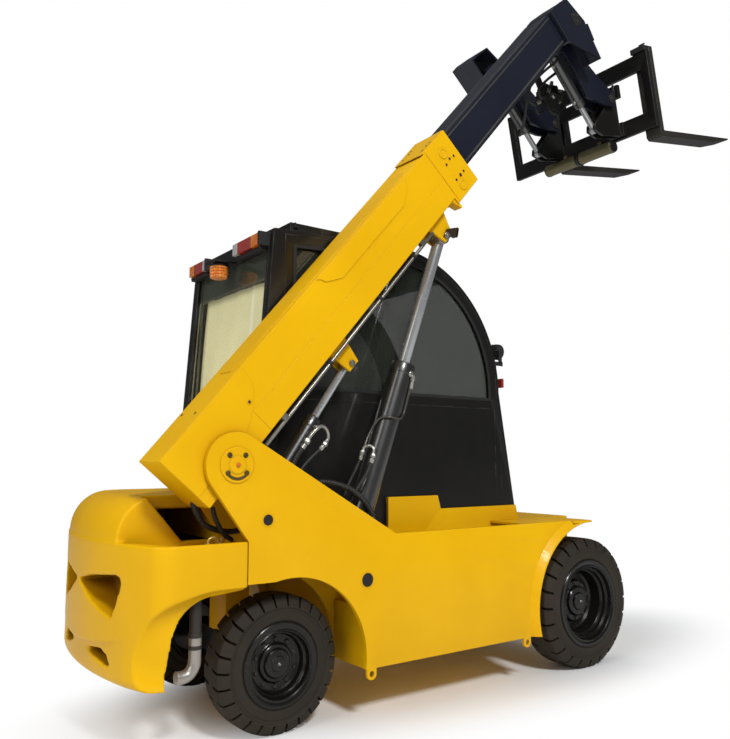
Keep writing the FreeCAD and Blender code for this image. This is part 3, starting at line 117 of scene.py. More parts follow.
class Nodes:
    """The emptied node tree of a material or a world, to which nodes are added."""

    def __init__(self, owner):
        owner.use_nodes = True
        self.tree = owner.node_tree
        self.tree.nodes.clear()

    def add(self, kind, settings, entries, output=0):
        """A node of a kind: its settings first, then the values or readings of its sockets."""
        node = self.tree.nodes.new(kind)
        for word, setting in settings.items():
            if word == "stops":
                ramp = node.color_ramp.elements
                while len(ramp) < len(setting):
                    ramp.new(0.5)
                for stop, (position, colour) in zip(ramp, setting):
                    stop.position = position
                    stop.color = colour
            else:
                setattr(node, word, setting)
        for place, entry in entries.items():
            self.join(entry, node.inputs[place])
        return Reading(self, node.outputs[output]) if output is not None else node

    def join(self, entry, socket):
        if isinstance(entry, Reading):
            self.tree.links.new(entry.socket, socket)
        else:
            socket.default_value = entry


class Finish(Nodes):
    """A finish whose shader is fed by expressions; constants sit on the shader's sockets."""

    def __init__(self, name, constants):
        self.material = bpy.data.materials.new(name)
        super().__init__(self.material)
        self.shader = self.add("ShaderNodeBsdfPrincipled", {}, constants).socket.node
        self.ending = self.add("ShaderNodeOutputMaterial", {},
                               {"Surface": Reading(self, self.shader.outputs[0])}, None)

    def feed(self, entries):
        for place, entry in entries.items():
            self.join(entry, self.shader.inputs[place])


floor_finish = Finish("pale_floor", {"Roughness": 0.6, "Specular IOR Level": 0.2})
spot = floor_finish.add("ShaderNodeTexCoord", {}, {}, "Object")
speckle = floor_finish.add("ShaderNodeTexNoise", {}, {"Vector": spot, "Scale": 40.0})
tone = floor_finish.add("ShaderNodeMix", {"data_type": "RGBA"},
                        {0: speckle, 6: (0.9, 0.9, 0.895, 1), 7: (0.93, 0.93, 0.925, 1)}, 2)
floor_finish.feed({"Base Color": tone})
oval = floor_finish.add("ShaderNodeMapping", {}, {"Vector": spot, "Scale": (0.55, 1.3, 1)})
away = floor_finish.add("ShaderNodeVectorMath", {"operation": "LENGTH"}, {0: oval}, "Value")
fade = floor_finish.add("ShaderNodeMapRange", {"interpolation_type": "SMOOTHSTEP"},
                        {"Value": away, "From Min": 0.78, "From Max": 1.4})
white = floor_finish.add("ShaderNodeEmission", {}, {"Color": (1, 1, 1, 1), "Strength": 1.0})
seen = floor_finish.add("ShaderNodeLightPath", {}, {}, "Is Camera Ray")
lit = Reading(floor_finish, floor_finish.shader.outputs[0])
faded = floor_finish.add("ShaderNodeMixShader", {},
                         {0: fade * seen, 1: lit, 2: white})
floor_finish.join(faded, floor_finish.ending.inputs["Surface"])
bpy.ops.mesh.primitive_plane_add(size=60)
floor = bpy.context.object
floor.name = "studio_floor"
floor.data.materials.append(floor_finish.material)

surround = bpy.data.worlds.new("white_surround")
bpy.context.scene.world = surround
sky = Nodes(surround)
direct, passed, mirrored = [sky.add("ShaderNodeLightPath", {}, {}, "Is %s Ray" % kind)
                            for kind in ("Camera", "Transmission", "Glossy")]
dim = sky.add("ShaderNodeBackground", {}, {"Color": (0.93, 0.96, 1.0, 1),
                                           "Strength": 0.27 - 0.17 * mirrored})
bright = sky.add("ShaderNodeBackground", {}, {"Color": (1, 1, 1, 1), "Strength": 1.0})
choice = sky.add("ShaderNodeMixShader", {},
                 {0: direct.worked("MAXIMUM", direct, passed), 1: dim, 2: bright})
sky.add("ShaderNodeOutputWorld", {}, {"Surface": choice}, None)

for name, place, aim, size, power in (
        ("key_lamp", (-3.0, -12.0, 11.5), (-0.3, -0.3, 1.4), 2.2, 1620),
        ("rear_lamp", (-9.0, -2.5, 5.5), (-0.6, 0, 1.0), 5.0, 240),
        ("top_lamp", (0.5, 2.5, 8.0), (0, 0, 1.0), 5.0, 110)):
    lamp_data = bpy.data.lights.new(name, "AREA")
    lamp_data.energy = power
    lamp_data.size = size
    lamp = bpy.data.objects.new(name, lamp_data)
    lamp.location = place
    lamp.rotation_euler = (Vector(aim) - Vector(place)).to_track_quat("-Z", "Y").to_euler()
    bpy.context.scene.collection.objects.link(lamp)
    lamp.visible_glossy = name != "top_lamp"


# ---- Frame: plate chassis with two long side plates, welded, then sprayed one yellow.
# Its rear wheel arches are burned out of the plate and its front fenders rolled.
home = {node: body for body, nodes in frame["record"]["behaviour"]["bodies"].items()
        for node in nodes}


def grain(finish, scale, detail=3.0, roughness=0.55):
    """Noise fixed to the piece, from 0 to 1, at a number of grains to the metre."""
    spot = finish.add("ShaderNodeTexCoord", {}, {}, "Object")
    return finish.add("ShaderNodeTexNoise", {}, {"Vector": spot, "Scale": scale,
                                                 "Detail": detail, "Roughness": roughness})


def rounded_normal(finish, radius):
    return finish.add("ShaderNodeBevel", {"samples": 4}, {"Radius": radius}, "Normal")


def edges(finish, radius):
    """1 on the edges of a piece and 0 on its flats."""
    soft = rounded_normal(finish, radius)
    true = finish.add("ShaderNodeNewGeometry", {}, {}, "Normal")
    alike = finish.add("ShaderNodeVectorMath", {"operation": "DOT_PRODUCT"}, {0: soft, 1: true},
                       "Value")
    return ((1.0 - alike) * 9.0).limited()


def hollow_shade(finish, reach):
    """1 in corners that light and a cloth hardly reach, 0 in the open."""
    open_air = finish.add("ShaderNodeAmbientOcclusion", {"samples": 4}, {"Distance": reach}, "AO")
    return 1.0 - open_air


def between(finish, amount, first, second):
    """A colour part of the way from a first to a second."""
    return finish.add("ShaderNodeMix", {"data_type": "RGBA"}, {0: amount, 6: first, 7: second}, 2)


def relief(finish, height, depth, normal=None, strength=1.0):
    """A normal raised by a height reading, over a depth in metres."""
    entries = {"Height": height, "Distance": depth, "Strength": strength}
    if normal:
        entries["Normal"] = normal
    return finish.add("ShaderNodeBump", {}, entries)


def sprayed(name, colour, deep, worn_and_lit, rough, coat, shine=0.5, wear_and_highlight=0.35, dust_and_shade=0.25,
            dirt_and_shade=None, metal=0.0, reach=0.07):
    """Sprayed paint: a faint mottle, fine orange peel, edges lightened by rubbing and a painted
    highlight, and corners darkened by dust and painted shade.
    """
    finish = Finish(name, {"Coat Weight": coat, "Coat Roughness": 0.1,
                           "Specular IOR Level": shine, "Metallic": metal})
    mottle = grain(finish, 2.2, 4.0)
    smear = grain(finish, 17.0, 6.0, 0.65)
    peel = grain(finish, 420.0, 2.0)
    tint = between(finish, ((mottle - 0.35) * 2.2).limited(), (*deep, 1), (*colour, 1))
    # Edges lighten in patches toward the worn colour: rubbed paint, and a painted edge highlight.
    rub_and_highlight = edges(finish, 0.004) * ((smear - 0.44) * 5.0).limited() * wear_and_highlight
    tint = between(finish, rub_and_highlight.limited(), tint, (*worn_and_lit, 1))
    # Hollows within the reach darken toward the dirt colour: dust, and painted shade where light hardly reaches.
    corner_dust_and_shade = (hollow_shade(finish, reach) ** 1.6) * dust_and_shade
    tint = between(finish, corner_dust_and_shade.limited(), tint, (*(dirt_and_shade or [0.35 * c for c in deep]), 1))
    finish.feed({
        "Base Color": tint,
        "Roughness": (rough + (smear - 0.5) * 0.16 + rub_and_highlight * 0.25 + corner_dust_and_shade * 0.3).limited(),
        "Normal": relief(finish, peel + smear * 0.6, 0.0004, rounded_normal(finish, 0.003),
                         0.35)})
    return finish


def cleaned(node, weld=0.0004, split=True):
    """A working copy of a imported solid's mesh, welded, its flats whole or split again."""
    shape = bmesh.new()
    shape.from_mesh(frame["nodes"][node].data)
    bmesh.ops.remove_doubles(shape, verts=shape.verts, dist=weld)
    bmesh.ops.dissolve_limit(shape, angle_limit=math.radians(0.6), verts=shape.verts,
                             edges=shape.edges)
    if split:
        bmesh.ops.triangulate(shape, faces=[face for face in shape.faces if len(face.verts) > 4])
    return shape


def placed(shape, name, body, finish, bevel=0.0, sharp=32, segments=2):
    """The finished object of a shape, smooth but for its edges, riding on its body."""
    mesh = bpy.data.meshes.new(name)
    bmesh.ops.recalc_face_normals(shape, faces=shape.faces)
    shape.to_mesh(mesh)
    shape.free()
    piece = bpy.data.objects.new(name, mesh)
    bpy.context.scene.collection.objects.link(piece)
    mesh.materials.append(finish.material)
    mesh.shade_smooth()
    mesh.set_sharp_from_angle(angle=math.radians(sharp))
    if bevel:
        rounding = piece.modifiers.new("rounding", "BEVEL")
        rounding.width = bevel
        rounding.segments = segments
        rounding.limit_method = "ANGLE"
        rounding.angle_limit = math.radians(35)
        rounding.harden_normals = True
        rounding.miter_outer = "MITER_ARC"
    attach(piece, body)
    return piece


def dressed(node, finish, bevel=0.003, weld=0.0004, segments=2, split=True):
    """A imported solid's own form with rounded edges, shown in its place."""
    piece = placed(cleaned(node, weld, split), node + "_skin", home[node], finish, bevel,
                   segments=segments)
    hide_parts(node)
    return piece


def facing(point, way):
    """A place at a point whose Z looks along a direction."""
    return Matrix.Translation(point) @ Vector(way).to_track_quat("Z", "Y").to_matrix().to_4x4()


def lathe(shape, profile, place, steps=32, ribs=0, rib=0.0):
    """Turns a profile of (radius, height) round a place's Z, with flat ends and any ribs."""
    rings = []
    for radius, height in profile:
        ring = []
        for step in range(steps):
            angle = math.tau * step / steps
            reach = radius + rib * math.cos(ribs * angle)
            ring.append(shape.verts.new(place @ Vector((reach * math.cos(angle),
                                                        reach * math.sin(angle), height))))
        rings.append(ring)
    for low, high in zip(rings, rings[1:]):
        for step in range(steps):
            after = (step + 1) % steps
            shape.faces.new((low[step], low[after], high[after], high[step]))
    shape.faces.new(rings[0][::-1])
    shape.faces.new(rings[-1])


def slab(shape, outline, low, high, place=Matrix.Identity(4)):
    """A plate of an outline in a place's XY plane, between two heights."""
    floor_ring, top_ring = [[shape.verts.new(place @ Vector((x, y, height)))
                             for x, y in outline] for height in (low, high)]
    shape.faces.new(floor_ring[::-1])
    shape.faces.new(top_ring)
    for step in range(len(outline)):
        after = (step + 1) % len(outline)
        shape.faces.new((floor_ring[step], floor_ring[after], top_ring[after], top_ring[step]))


def block(shape, low, high, place=Matrix.Identity(4)):
    slab(shape, [(low[0], low[1]), (high[0], low[1]), (high[0], high[1]), (low[0], high[1])],
         low[2], high[2], place)


def bolt(shape, place, size, washer=True):
    """A hexagon head on a washer, as wide across as twice the size."""
    if washer:
        lathe(shape, [(size * 1.35, 0), (size * 1.35, size * 0.16), (size * 1.25, size * 0.22)],
              place, 20)
    lathe(shape, [(size, 0), (size, size * 0.75), (size * 0.86, size * 0.92)], place, 6)


def eased(points, steps=8):
    """Points of a smooth line through given points."""
    spots = [Vector(point) for point in points]
    ends = [2 * spots[0] - spots[1]] + spots + [2 * spots[-1] - spots[-2]]
    line = []
    for a, b, c, d in zip(ends, ends[1:], ends[2:], ends[3:]):
        for step in range(steps):
            t = step / steps
            line.append(0.5 * (2 * b + (c - a) * t + (2 * a - 5 * b + 4 * c - d) * t * t
                               + (3 * b - a - 3 * c + d) * t ** 3))
    return line + [spots[-1]]


def swept(shape, line, radius, sides=12, rib=0.0, pitch=0.012, loop=False):
    """A round tube along a line of points, with ribs round it or joined into a loop."""
    across = (line[1] - line[0]).orthogonal().normalized()
    rings, gone = [], 0.0
    count = len(line)
    for number, spot in enumerate(line):
        after, before = ((number + 1) % count, number - 1) if loop else (
            min(number + 1, count - 1), max(number - 1, 0))
        ahead = (line[after] - line[before]).normalized()
        across = (across - ahead * across.dot(ahead)).normalized()
        beside = ahead.cross(across)
        gone += (spot - line[max(number - 1, 0)]).length
        reach = radius + rib * (1 if int(gone / pitch * 2) % 2 else 0)
        turns = [math.tau * side / sides for side in range(sides)]
        rings.append([shape.verts.new(spot + reach * (across * math.cos(turn)
                                                      + beside * math.sin(turn)))
                      for turn in turns])
    for low, high in zip(rings, rings[1:] + rings[:1] if loop else rings[1:]):
        for side in range(sides):
            after = (side + 1) % sides
            shape.faces.new((low[side], low[after], high[after], high[side]))
    if not loop:
        shape.faces.new(rings[0][::-1])
        shape.faces.new(rings[-1])


yellow = sprayed("yellow_paint", (0.86, 0.485, 0.0012), (0.77, 0.415, 0.0008),
                 (0.9, 0.6, 0.06), 0.38, 0.06, shine=0.14, dust_and_shade=0.8,
                 dirt_and_shade=(0.13, 0.04, 0.002), reach=0.22)
for node in ("chassis_frame", "frame_side_right", "frame_side_left"):
    dressed(node, yellow, 0.0025)

# The two rubber plugs in the right side plate, each in a rolled ring.
ear_step = 0.034
right_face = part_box("frame_side_right")[0].y + ear_step
pivot = Vector(next(j["pos_m"] for j in frame["joints"] if j["name"] == "boom_lift"))
rubber_black = sprayed("moulded_rubber", (0.022, 0.021, 0.02), (0.014, 0.014, 0.014),
                       (0.06, 0.06, 0.055), 0.6, 0.0, shine=0.3)
plugs = bmesh.new()
plug_rings = bmesh.new()
for x, z, radius in ((pivot.x + 0.146, pivot.z - 0.227, 0.022),
                     (pivot.x + 0.653, pivot.z - 0.514, 0.03)):
    out = facing((x, right_face, z), (0, -1, 0))
    lathe(plugs, [(radius, -0.004), (radius, 0.002), (radius * 0.9, 0.0045),
                  (radius * 0.45, 0.0052)], out, 32)
    lathe(plug_rings, [(radius + 0.007, -0.004), (radius + 0.006, 0.0022),
                       (radius + 0.001, 0.0026), (radius - 0.001, -0.003)], out, 40)
placed(plugs, "side_plate_plugs", "machine", rubber_black)
placed(plug_rings, "side_plate_plug_rings", "machine", yellow)

# The boom pin's boss on the ear: a round retainer held by four bolts over a keeper plate,
# with a grease point in its middle.
boss = bmesh.new()
out = facing((pivot.x, right_face, pivot.z), (0, -1, 0))
bolt_circle, keeper_outer, keeper_inner = 0.053, 0.062, 0.05
lathe(boss, [(0.074, -0.002), (0.074, 0.004), (0.071, 0.0065), (0.04, 0.0065)], out, 56)
lathe(boss, [(0.036, 0.004), (0.036, 0.0095), (0.033, 0.0115)], out, 40)
placed(boss, "boom_pin_retainer", "machine", yellow)
steel_dark = sprayed("dark_bolt_steel", (0.19, 0.115, 0.016), (0.06, 0.04, 0.014),
                     (0.4, 0.26, 0.06), 0.45, 0.0, metal=0.3)
keeper = bmesh.new()


def round_centre(radius, degrees):
    """A point on a circle, from a place's X towards its Y."""
    return radius * math.cos(math.radians(degrees)), radius * math.sin(math.radians(degrees))


for angle in (48, 132, 218, 322):
    bolt(keeper, out @ Matrix.Translation((*round_centre(bolt_circle, angle), 0.006)), 0.0085)
slab(keeper, [round_centre(keeper_outer, angle) for angle in range(214, 327, 7)]
     + [round_centre(keeper_inner, angle) for angle in range(326, 213, -7)], 0.0058, 0.0085, out)
placed(keeper, "boom_pin_bolts_and_keeper", "machine", steel_dark, 0.0006)
orange = sprayed("grease_point_cap", (0.75, 0.18, 0.02), (0.6, 0.13, 0.02), (0.8, 0.4, 0.2), 0.4,
                 0.0)
nipple = bmesh.new()
lathe(nipple, [(0.009, 0.008), (0.009, 0.016), (0.006, 0.019), (0.0045, 0.023)], out, 20)
placed(nipple, "boom_pin_grease_point", "machine", orange)

# ---- Counterweight and engine cover: one rounded iron casting behind the wheels, its
# scoops and slots cast in, with the pressed engine cover let in between it and the cab.
cast = bmesh.new()
cast.from_mesh(frame["nodes"]["counterweight"].data)
bmesh.ops.remove_doubles(cast, verts=cast.verts, dist=0.0004)
weight = placed(cast, "counterweight_casting", "machine", yellow)
skin = weight.modifiers.new("casting_skin", "REMESH")
skin.mode = "VOXEL"
skin.voxel_size = 0.0066
skin.use_smooth_shade = True
fettled = weight.modifiers.new("fettled_edges", "SMOOTH")
fettled.factor = 0.5
fettled.iterations = 3
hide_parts("counterweight")
dressed("engine_hood", yellow, 0.004)

# ---- Engine and exhaust: a painted iron block on the frame's floor, with a steel down
# pipe in the right rear wheel opening, bent to the rear at its foot.
iron = sprayed("engine_iron", (0.05, 0.05, 0.052), (0.03, 0.03, 0.032), (0.16, 0.15, 0.14),
               0.55, 0.0, dust_and_shade=0.5)
dressed("engine_block", iron, 0.004)
pipe_low, pipe_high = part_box("exhaust_pipe")
pipe_radius = (pipe_high.y - pipe_low.y) / 2
pipe_y = pipe_low.y + pipe_radius
pipe_x = pipe_high.x - pipe_radius
foot_z = pipe_low.z + pipe_radius
aluminised = sprayed("aluminised_pipe", (0.46, 0.44, 0.4), (0.3, 0.28, 0.25),
                     (0.66, 0.64, 0.6), 0.38, 0.0, metal=0.75)
sooty = sprayed("sooty_pipe", (0.06, 0.052, 0.045), (0.03, 0.027, 0.024), (0.2, 0.18, 0.16),
                0.55, 0.0, metal=0.5)
elbow = bmesh.new()
bend = [(pipe_x, pipe_y, foot_z + 0.15), (pipe_x, pipe_y, foot_z + 0.07),
        (pipe_x - 0.004, pipe_y, foot_z + 0.035), (pipe_x - 0.024, pipe_y, foot_z + 0.008),
        (pipe_x - 0.05, pipe_y, foot_z), (pipe_low.x + 0.003, pipe_y, foot_z)]
swept(elbow, eased(bend, 6), pipe_radius - 0.0015, 28)
tail = placed(elbow, "exhaust_elbow", "machine", aluminised)
riser = bmesh.new()
lathe(riser, [(pipe_radius - 0.003, foot_z + 0.14), (pipe_radius - 0.003, pipe_high.z)],
      Matrix.Translation((pipe_x, pipe_y, 0)), 28)
for level in (foot_z + 0.1, foot_z + 0.145):
    lathe(riser, [(pipe_radius - 0.001, level), (pipe_radius, level + 0.003),
                  (pipe_radius, level + 0.013), (pipe_radius - 0.001, level + 0.016)],
          Matrix.Translation((pipe_x, pipe_y, 0)), 28)
placed(riser, "exhaust_riser", "machine", sooty)
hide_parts("exhaust_pipe")

# ---- Axles, knuckles and wheels: black cast axles on the frame, and solid rubber tyres
# with staggered blocks, pressed on deep steel rims that are nutted to their hubs.
black = sprayed("black_satin_paint", (0.0095, 0.0085, 0.0075), (0.006, 0.0055, 0.005),
                (0.05, 0.048, 0.042), 0.42, 0.05, shine=0.3, dust_and_shade=0.3)
dressed("axles", black, 0.002)
for side in ("left", "right"):
    dressed("knuckle_" + side, black, 0.001)
rubber = sprayed("tyre_rubber", (0.04, 0.031, 0.02), (0.022, 0.018, 0.013),
                 (0.085, 0.07, 0.048), 0.72, 0.0, shine=0.25, wear_and_highlight=0.6, dust_and_shade=0.5,
                 dirt_and_shade=(0.01, 0.008, 0.006))
rim_paint = sprayed("rim_paint", (0.0085, 0.0075, 0.0065), (0.0055, 0.005, 0.0045),
                    (0.06, 0.055, 0.05), 0.28, 0.12, shine=0.3, wear_and_highlight=0.25, dust_and_shade=0.4)
nut_steel = sprayed("wheel_nut_steel", (0.045, 0.04, 0.034), (0.03, 0.027, 0.023),
                    (0.2, 0.19, 0.17), 0.4, 0.0, metal=0.5)
pale_rubber = sprayed("pale_rubber_mark", (0.42, 0.39, 0.33), (0.3, 0.28, 0.24),
                      (0.5, 0.47, 0.4), 0.7, 0.0)


def block_tyre(radius, half, bead, lugs, slot, reach, lean):
    """A solid tyre about Y: staggered slots run over each shoulder and down the side."""
    shape = bmesh.new()
    row_of = shape.verts.layers.int.new("row")
    outer = [(reach, radius), (half - 0.045, radius - 0.0005), (half - 0.026, radius - 0.003),
             (half - 0.01, radius - 0.026), (half - 0.001, radius - 0.047),
             (half - 0.002, radius - 0.053), (half - 0.007, radius - 0.056),
             (half - 0.009, radius - 0.066), (half - 0.006, (radius + bead) / 2 + 0.004),
             (half - 0.004, bead + 0.04), (half - 0.01, bead + 0.034),
             (half - 0.012, bead + 0.012), (half - 0.022, bead)]
    sunk = {0: (0, -0.022), 1: (0, -0.022), 2: (-0.006, -0.021), 3: (-0.011, -0.012),
            4: (-0.012, -0.006)}
    section = [(-axial, size) for axial, size in reversed(outer)] + [(0, radius + 0.0005)] + outer
    middle = len(outer)
    turns = []
    pitch = math.tau / lugs
    for lug in range(lugs):
        for share in (-slot / 2, slot / 2, 0.25, 0.5 - slot / 2, 0.5 + slot / 2, 0.75):
            turns.append((lug + share) * pitch)
    rings = []
    for turn in turns:
        ring = []
        for number, (axial, size) in enumerate(section):
            inward = max(0.0, 1.0 - abs(axial) / (half - 0.02))
            angle = turn + lean * inward * (1 if axial > 0 else -1) / radius
            spot = shape.verts.new((size * math.cos(angle), axial, size * math.sin(angle)))
            spot[row_of] = number
            ring.append(spot)
        rings.append(ring)
    cut = []
    for column, (near, far) in enumerate(zip(rings, rings[1:] + rings[:1])):
        for number in range(len(section) - 1):
            face = shape.faces.new((near[number], near[number + 1], far[number + 1], far[number]))
            left = middle - 5 <= number <= middle - 2 and column % 6 == 0
            right = middle + 1 <= number <= middle + 4 and column % 6 == 3
            if left or right:
                cut.append(face)
        shape.faces.new((near[-1], near[0], far[0], far[-1]))
    raised = bmesh.ops.extrude_face_region(shape, geom=cut)["geom"]
    bmesh.ops.delete(shape, geom=cut, context="FACES")
    for spot in (part for part in raised if isinstance(part, bmesh.types.BMVert)):
        side = 1 if spot[row_of] > middle else -1
        outward, drop = sunk[abs(spot[row_of] - middle) - 1]
        away = Vector((spot.co.x, 0, spot.co.z))
        spot.co += away.normalized() * drop + Vector((0, side * outward, 0))
    return shape


rear_section = [(0.027, 0.038), (0.027, -0.006), (0.118, -0.008), (0.126, -0.03),
                (0.13, -0.072), (0.136, -0.078), (0.146, -0.076), (0.1465, -0.06),
                (0.1465, 0.06), (0.168, 0.078), (0.1765, 0.081), (0.1775, 0.0845), (0.174, 0.087),
                (0.16, 0.0865), (0.151, 0.0825), (0.148, 0.0835), (0.1435, 0.0865),
                (0.14, 0.0835), (0.1385, 0.076), (0.136, 0.062), (0.132, 0.0565),
                (0.1285, 0.0555), (0.1255, 0.052), (0.124, 0.036), (0.1195, 0.028),
                (0.113, 0.0245), (0.086, 0.0235), (0.081, 0.027), (0.0785, 0.038),
                (0.075, 0.0405), (0.065, 0.041), (0.062, 0.044), (0.06, 0.051), (0.056, 0.0545),
                (0.034, 0.057), (0.031, 0.061), (0.012, 0.0625)]
front_section = [(0.027, 0.038), (0.027, -0.034), (0.15, -0.036), (0.186, -0.06),
                 (0.19, -0.092), (0.196, -0.099), (0.206, -0.097), (0.2065, -0.08),
                 (0.2065, 0.078), (0.228, 0.097), (0.236, 0.1), (0.2375, 0.104), (0.234, 0.1075),
                 (0.22, 0.107), (0.211, 0.102), (0.208, 0.103), (0.2035, 0.1065),
                 (0.2, 0.1035), (0.1985, 0.096), (0.196, 0.082), (0.192, 0.0765),
                 (0.188, 0.0775), (0.1845, 0.0745), (0.183, 0.056), (0.179, 0.05),
                 (0.1745, 0.0505), (0.171, 0.0475), (0.168, 0.01), (0.162, -0.012),
                 (0.15, -0.022), (0.122, -0.0245), (0.116, -0.02), (0.112, 0.004),
                 (0.108, 0.008), (0.084, 0.009), (0.08, 0.012), (0.078, 0.026), (0.074, 0.03),
                 (0.05, 0.032), (0.047, 0.04), (0.043, 0.043), (0.018, 0.044)]
for end, lugs, section, nuts, studs, cap in (
        ("rear", 26, rear_section, (10, 0.098, 0.024, 0.0095), (8, 0.051, 0.0545, 0.0035),
         rear_section[-1][1]),
        ("front", 24, front_section, (10, 0.096, 0.0085, 0.011), (12, 0.136, -0.0235, 0.007),
         front_section[-1][1])):
    for side, out in (("left", 1), ("right", -1)):
        tyre_low, tyre_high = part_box("%s_tyre_%s" % (end, side))
        rim_low, rim_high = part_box("%s_rim_%s" % (end, side))
        centre = (tyre_low + tyre_high) / 2
        radius = (tyre_high.z - tyre_low.z) / 2
        half = (tyre_high.y - tyre_low.y) / 2
        bead = (rim_high.z - rim_low.z) / 2
        body = "%s_wheel_%s" % (end, side)
        tyre = block_tyre(radius, half, bead, lugs, 0.155, half - 0.07, 0.02)
        tyre.transform(Matrix.Translation(centre))
        cover = placed(tyre, "%s_tyre_blocks_%s" % (end, side), body, rubber,
                       0.0022)
        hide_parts("%s_tyre_%s" % (end, side))
        outward = facing(centre, (0, out, 0))
        disc = bmesh.new()
        lathe(disc, section, outward, 72)
        wheel = placed(disc, "%s_rim_disc_%s" % (end, side), body, rim_paint,
                       sharp=25)
        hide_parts("%s_rim_%s" % (end, side))
        fixings = bmesh.new()
        for count, ring, height, size in (nuts, studs):
            for number in range(count):
                spot = (*round_centre(ring, 360 * (number + 0.5) / count), height)
                bolt(fixings, outward @ Matrix.Translation(spot), size)
        placed(fixings, "%s_wheel_nuts_%s" % (end, side), body, nut_steel, 0.0006)
        tip = bmesh.new()
        lathe(tip, [(0.007, cap - 0.002), (0.007, cap + 0.004), (0.0045, cap + 0.006),
                    (0.0045, cap + 0.011), (0.003, cap + 0.0125)], outward, 20)
        placed(tip, "%s_hub_grease_point_%s" % (end, side), body, aluminised)
        if end == "rear":
            mark = bmesh.new()
            at = centre + Vector((0.118, out * (half - 0.01), -0.155))
            lean_over = Matrix.Translation(at) @ Matrix.Rotation(math.radians(-52), 4, "Y")
            block(mark, (-0.017, -0.004, -0.004), (0.017, 0.004, 0.004), lean_over)
            placed(mark, "rear_tyre_wear_mark_%s" % side, body, pale_rubber, 0.0015)

# ---- Cab: welded sheet walls and tubes in satin black, with the panes bonded in rubber and
# a drawn sun blind behind the rear pane, lit by a faint painted glow. The door hangs on the left
# at its rear edge.
cab_black = sprayed("cab_black_paint", (0.0085, 0.0075, 0.0065), (0.0055, 0.005, 0.0045),
                    (0.16, 0.155, 0.14), 0.36, 0.18, shine=0.4, wear_and_highlight=0.7, dust_and_shade=0.25)
for node in ("cab_right_wall", "cab_left_frame", "cab_end_walls", "cab_roof", "cab_door"):
    dressed(node, cab_black, 0.004)
cab_low, cab_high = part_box("cab_right_wall")
left_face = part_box("cab_left_frame")[1].y - 0.02
nose = Vector((cab_high.x - 0.878, cab_high.y, cab_high.z - 0.755))
across = Matrix(((1, 0, 0, 0), (0, 0, -1, 0), (0, 1, 0, 0), (0, 0, 0, 1)))


def drawn_in(outline, width):
    """An outline with each side moved inward by a width, or outward by a negative one."""
    moved = []
    for number, spot in enumerate(outline):
        here = Vector(spot)
        to_here = (here - Vector(outline[number - 1])).normalized()
        onward = (Vector(outline[(number + 1) % len(outline)]) - here).normalized()
        middle = Vector((-to_here.y - onward.y, to_here.x + onward.x)).normalized()
        share = max(0.3, middle.dot(Vector((-to_here.y, to_here.x))))
        moved.append(tuple(here + middle * width / share))
    return moved


def framed(shape, outline, width, low, high, place=Matrix.Identity(4)):
    """A flat frame inside an outline, given anticlockwise, between two heights."""
    inner = drawn_in(outline, width)
    rings = [[shape.verts.new(place @ Vector((x, y, height))) for x, y in ring]
             for ring, height in ((outline, low), (outline, high), (inner, high), (inner, low))]
    for number, ring in enumerate(rings):
        following = rings[(number + 1) % 4]
        for step in range(len(outline)):
            after = (step + 1) % len(outline)
            shape.faces.new((ring[step], ring[after], following[after], following[step]))


arc = [(nose.x + 0.685 * math.sin(turn), nose.z + 0.685 * math.cos(turn))
       for turn in [math.radians(90 - 5 * step) for step in range(19)]]
right_pane = [(cab_low.x + 0.21, 1.494), (nose.x + 0.685, 1.494)] + arc + [
    (cab_low.x + 0.21, cab_high.z - 0.1)]
left_pane = [(cab_low.x + 0.21, 1.494), (nose.x - 0.1, 1.494), (nose.x - 0.1, 2.185),
             (cab_low.x + 0.21, 2.185)]
seals = bmesh.new()
framed(seals, drawn_in(right_pane, -0.003), 0.017, 0.32, 0.329, across)
framed(seals, drawn_in(left_pane, -0.003), 0.017, -left_face - 0.003, -left_face + 0.006, across)
placed(seals, "side_pane_seals", "machine", rubber_black, 0.002)
folds = bmesh.new()
framed(folds, drawn_in(right_pane, -0.05), 0.005, 0.3245, 0.3275, across)
for x in (0.064, 0.11):
    block(folds, (x, -0.3272, 0.99), (x + 0.004, -0.3245, 1.44))
block(folds, (cab_low.x + 0.035, -0.3272, 0.86), (cab_low.x + 0.039, -0.3245, 1.47))
placed(folds, "right_wall_fold_lines", "machine", cab_black, 0.001)

# The panes: side ones dark, the windscreen clearer, the rear one darker round its edge.
tinted = Finish("tinted_pane", {"Roughness": 0.03, "Specular IOR Level": 0.6, "IOR": 1.5})
spot = tinted.add("ShaderNodeTexCoord", {}, {}, "Object")
parts = tinted.add("ShaderNodeSeparateXYZ", {}, {0: spot}, None)
along, beside, above = [Reading(tinted, socket) for socket in parts.outputs]
at_side = tinted.add("ShaderNodeMath", {"operation": "GREATER_THAN"},
                     {0: (beside - 0.137).worked("ABSOLUTE", beside - 0.137), 1: 0.42})
at_rear = tinted.add("ShaderNodeMath", {"operation": "LESS_THAN"}, {0: along, 1: -1.34})
upper = tinted.add("ShaderNodeMapRange", {"interpolation_type": "SMOOTHSTEP"},
                   {"Value": above, "From Min": 2.015, "From Max": 2.045})
outer = tinted.add("ShaderNodeMapRange", {"interpolation_type": "SMOOTHSTEP"},
                   {"Value": beside, "From Min": 0.51, "From Max": 0.53})
banded = (upper + outer).limited() * at_rear
film = grain(tinted, 3.0, 4.0)
rear_tint = between(tinted, upper, (0.4, 0.385, 0.25, 1), (0.06, 0.068, 0.045, 1))
pane_tint = between(tinted, at_rear, (0.02, 0.024, 0.017, 1), rear_tint)
tinted.feed({"Base Color": between(tinted, film * 0.5, pane_tint, (0.03, 0.035, 0.026, 1)),
             "Alpha": (0.07 + at_side * 0.7 + banded * 0.8 + (film - 0.5) * 0.08).limited()})
dressed("cab_glass", tinted, 0.001)
door_tint = Finish("door_pane", {"Roughness": 0.03, "Specular IOR Level": 0.6, "IOR": 1.5})
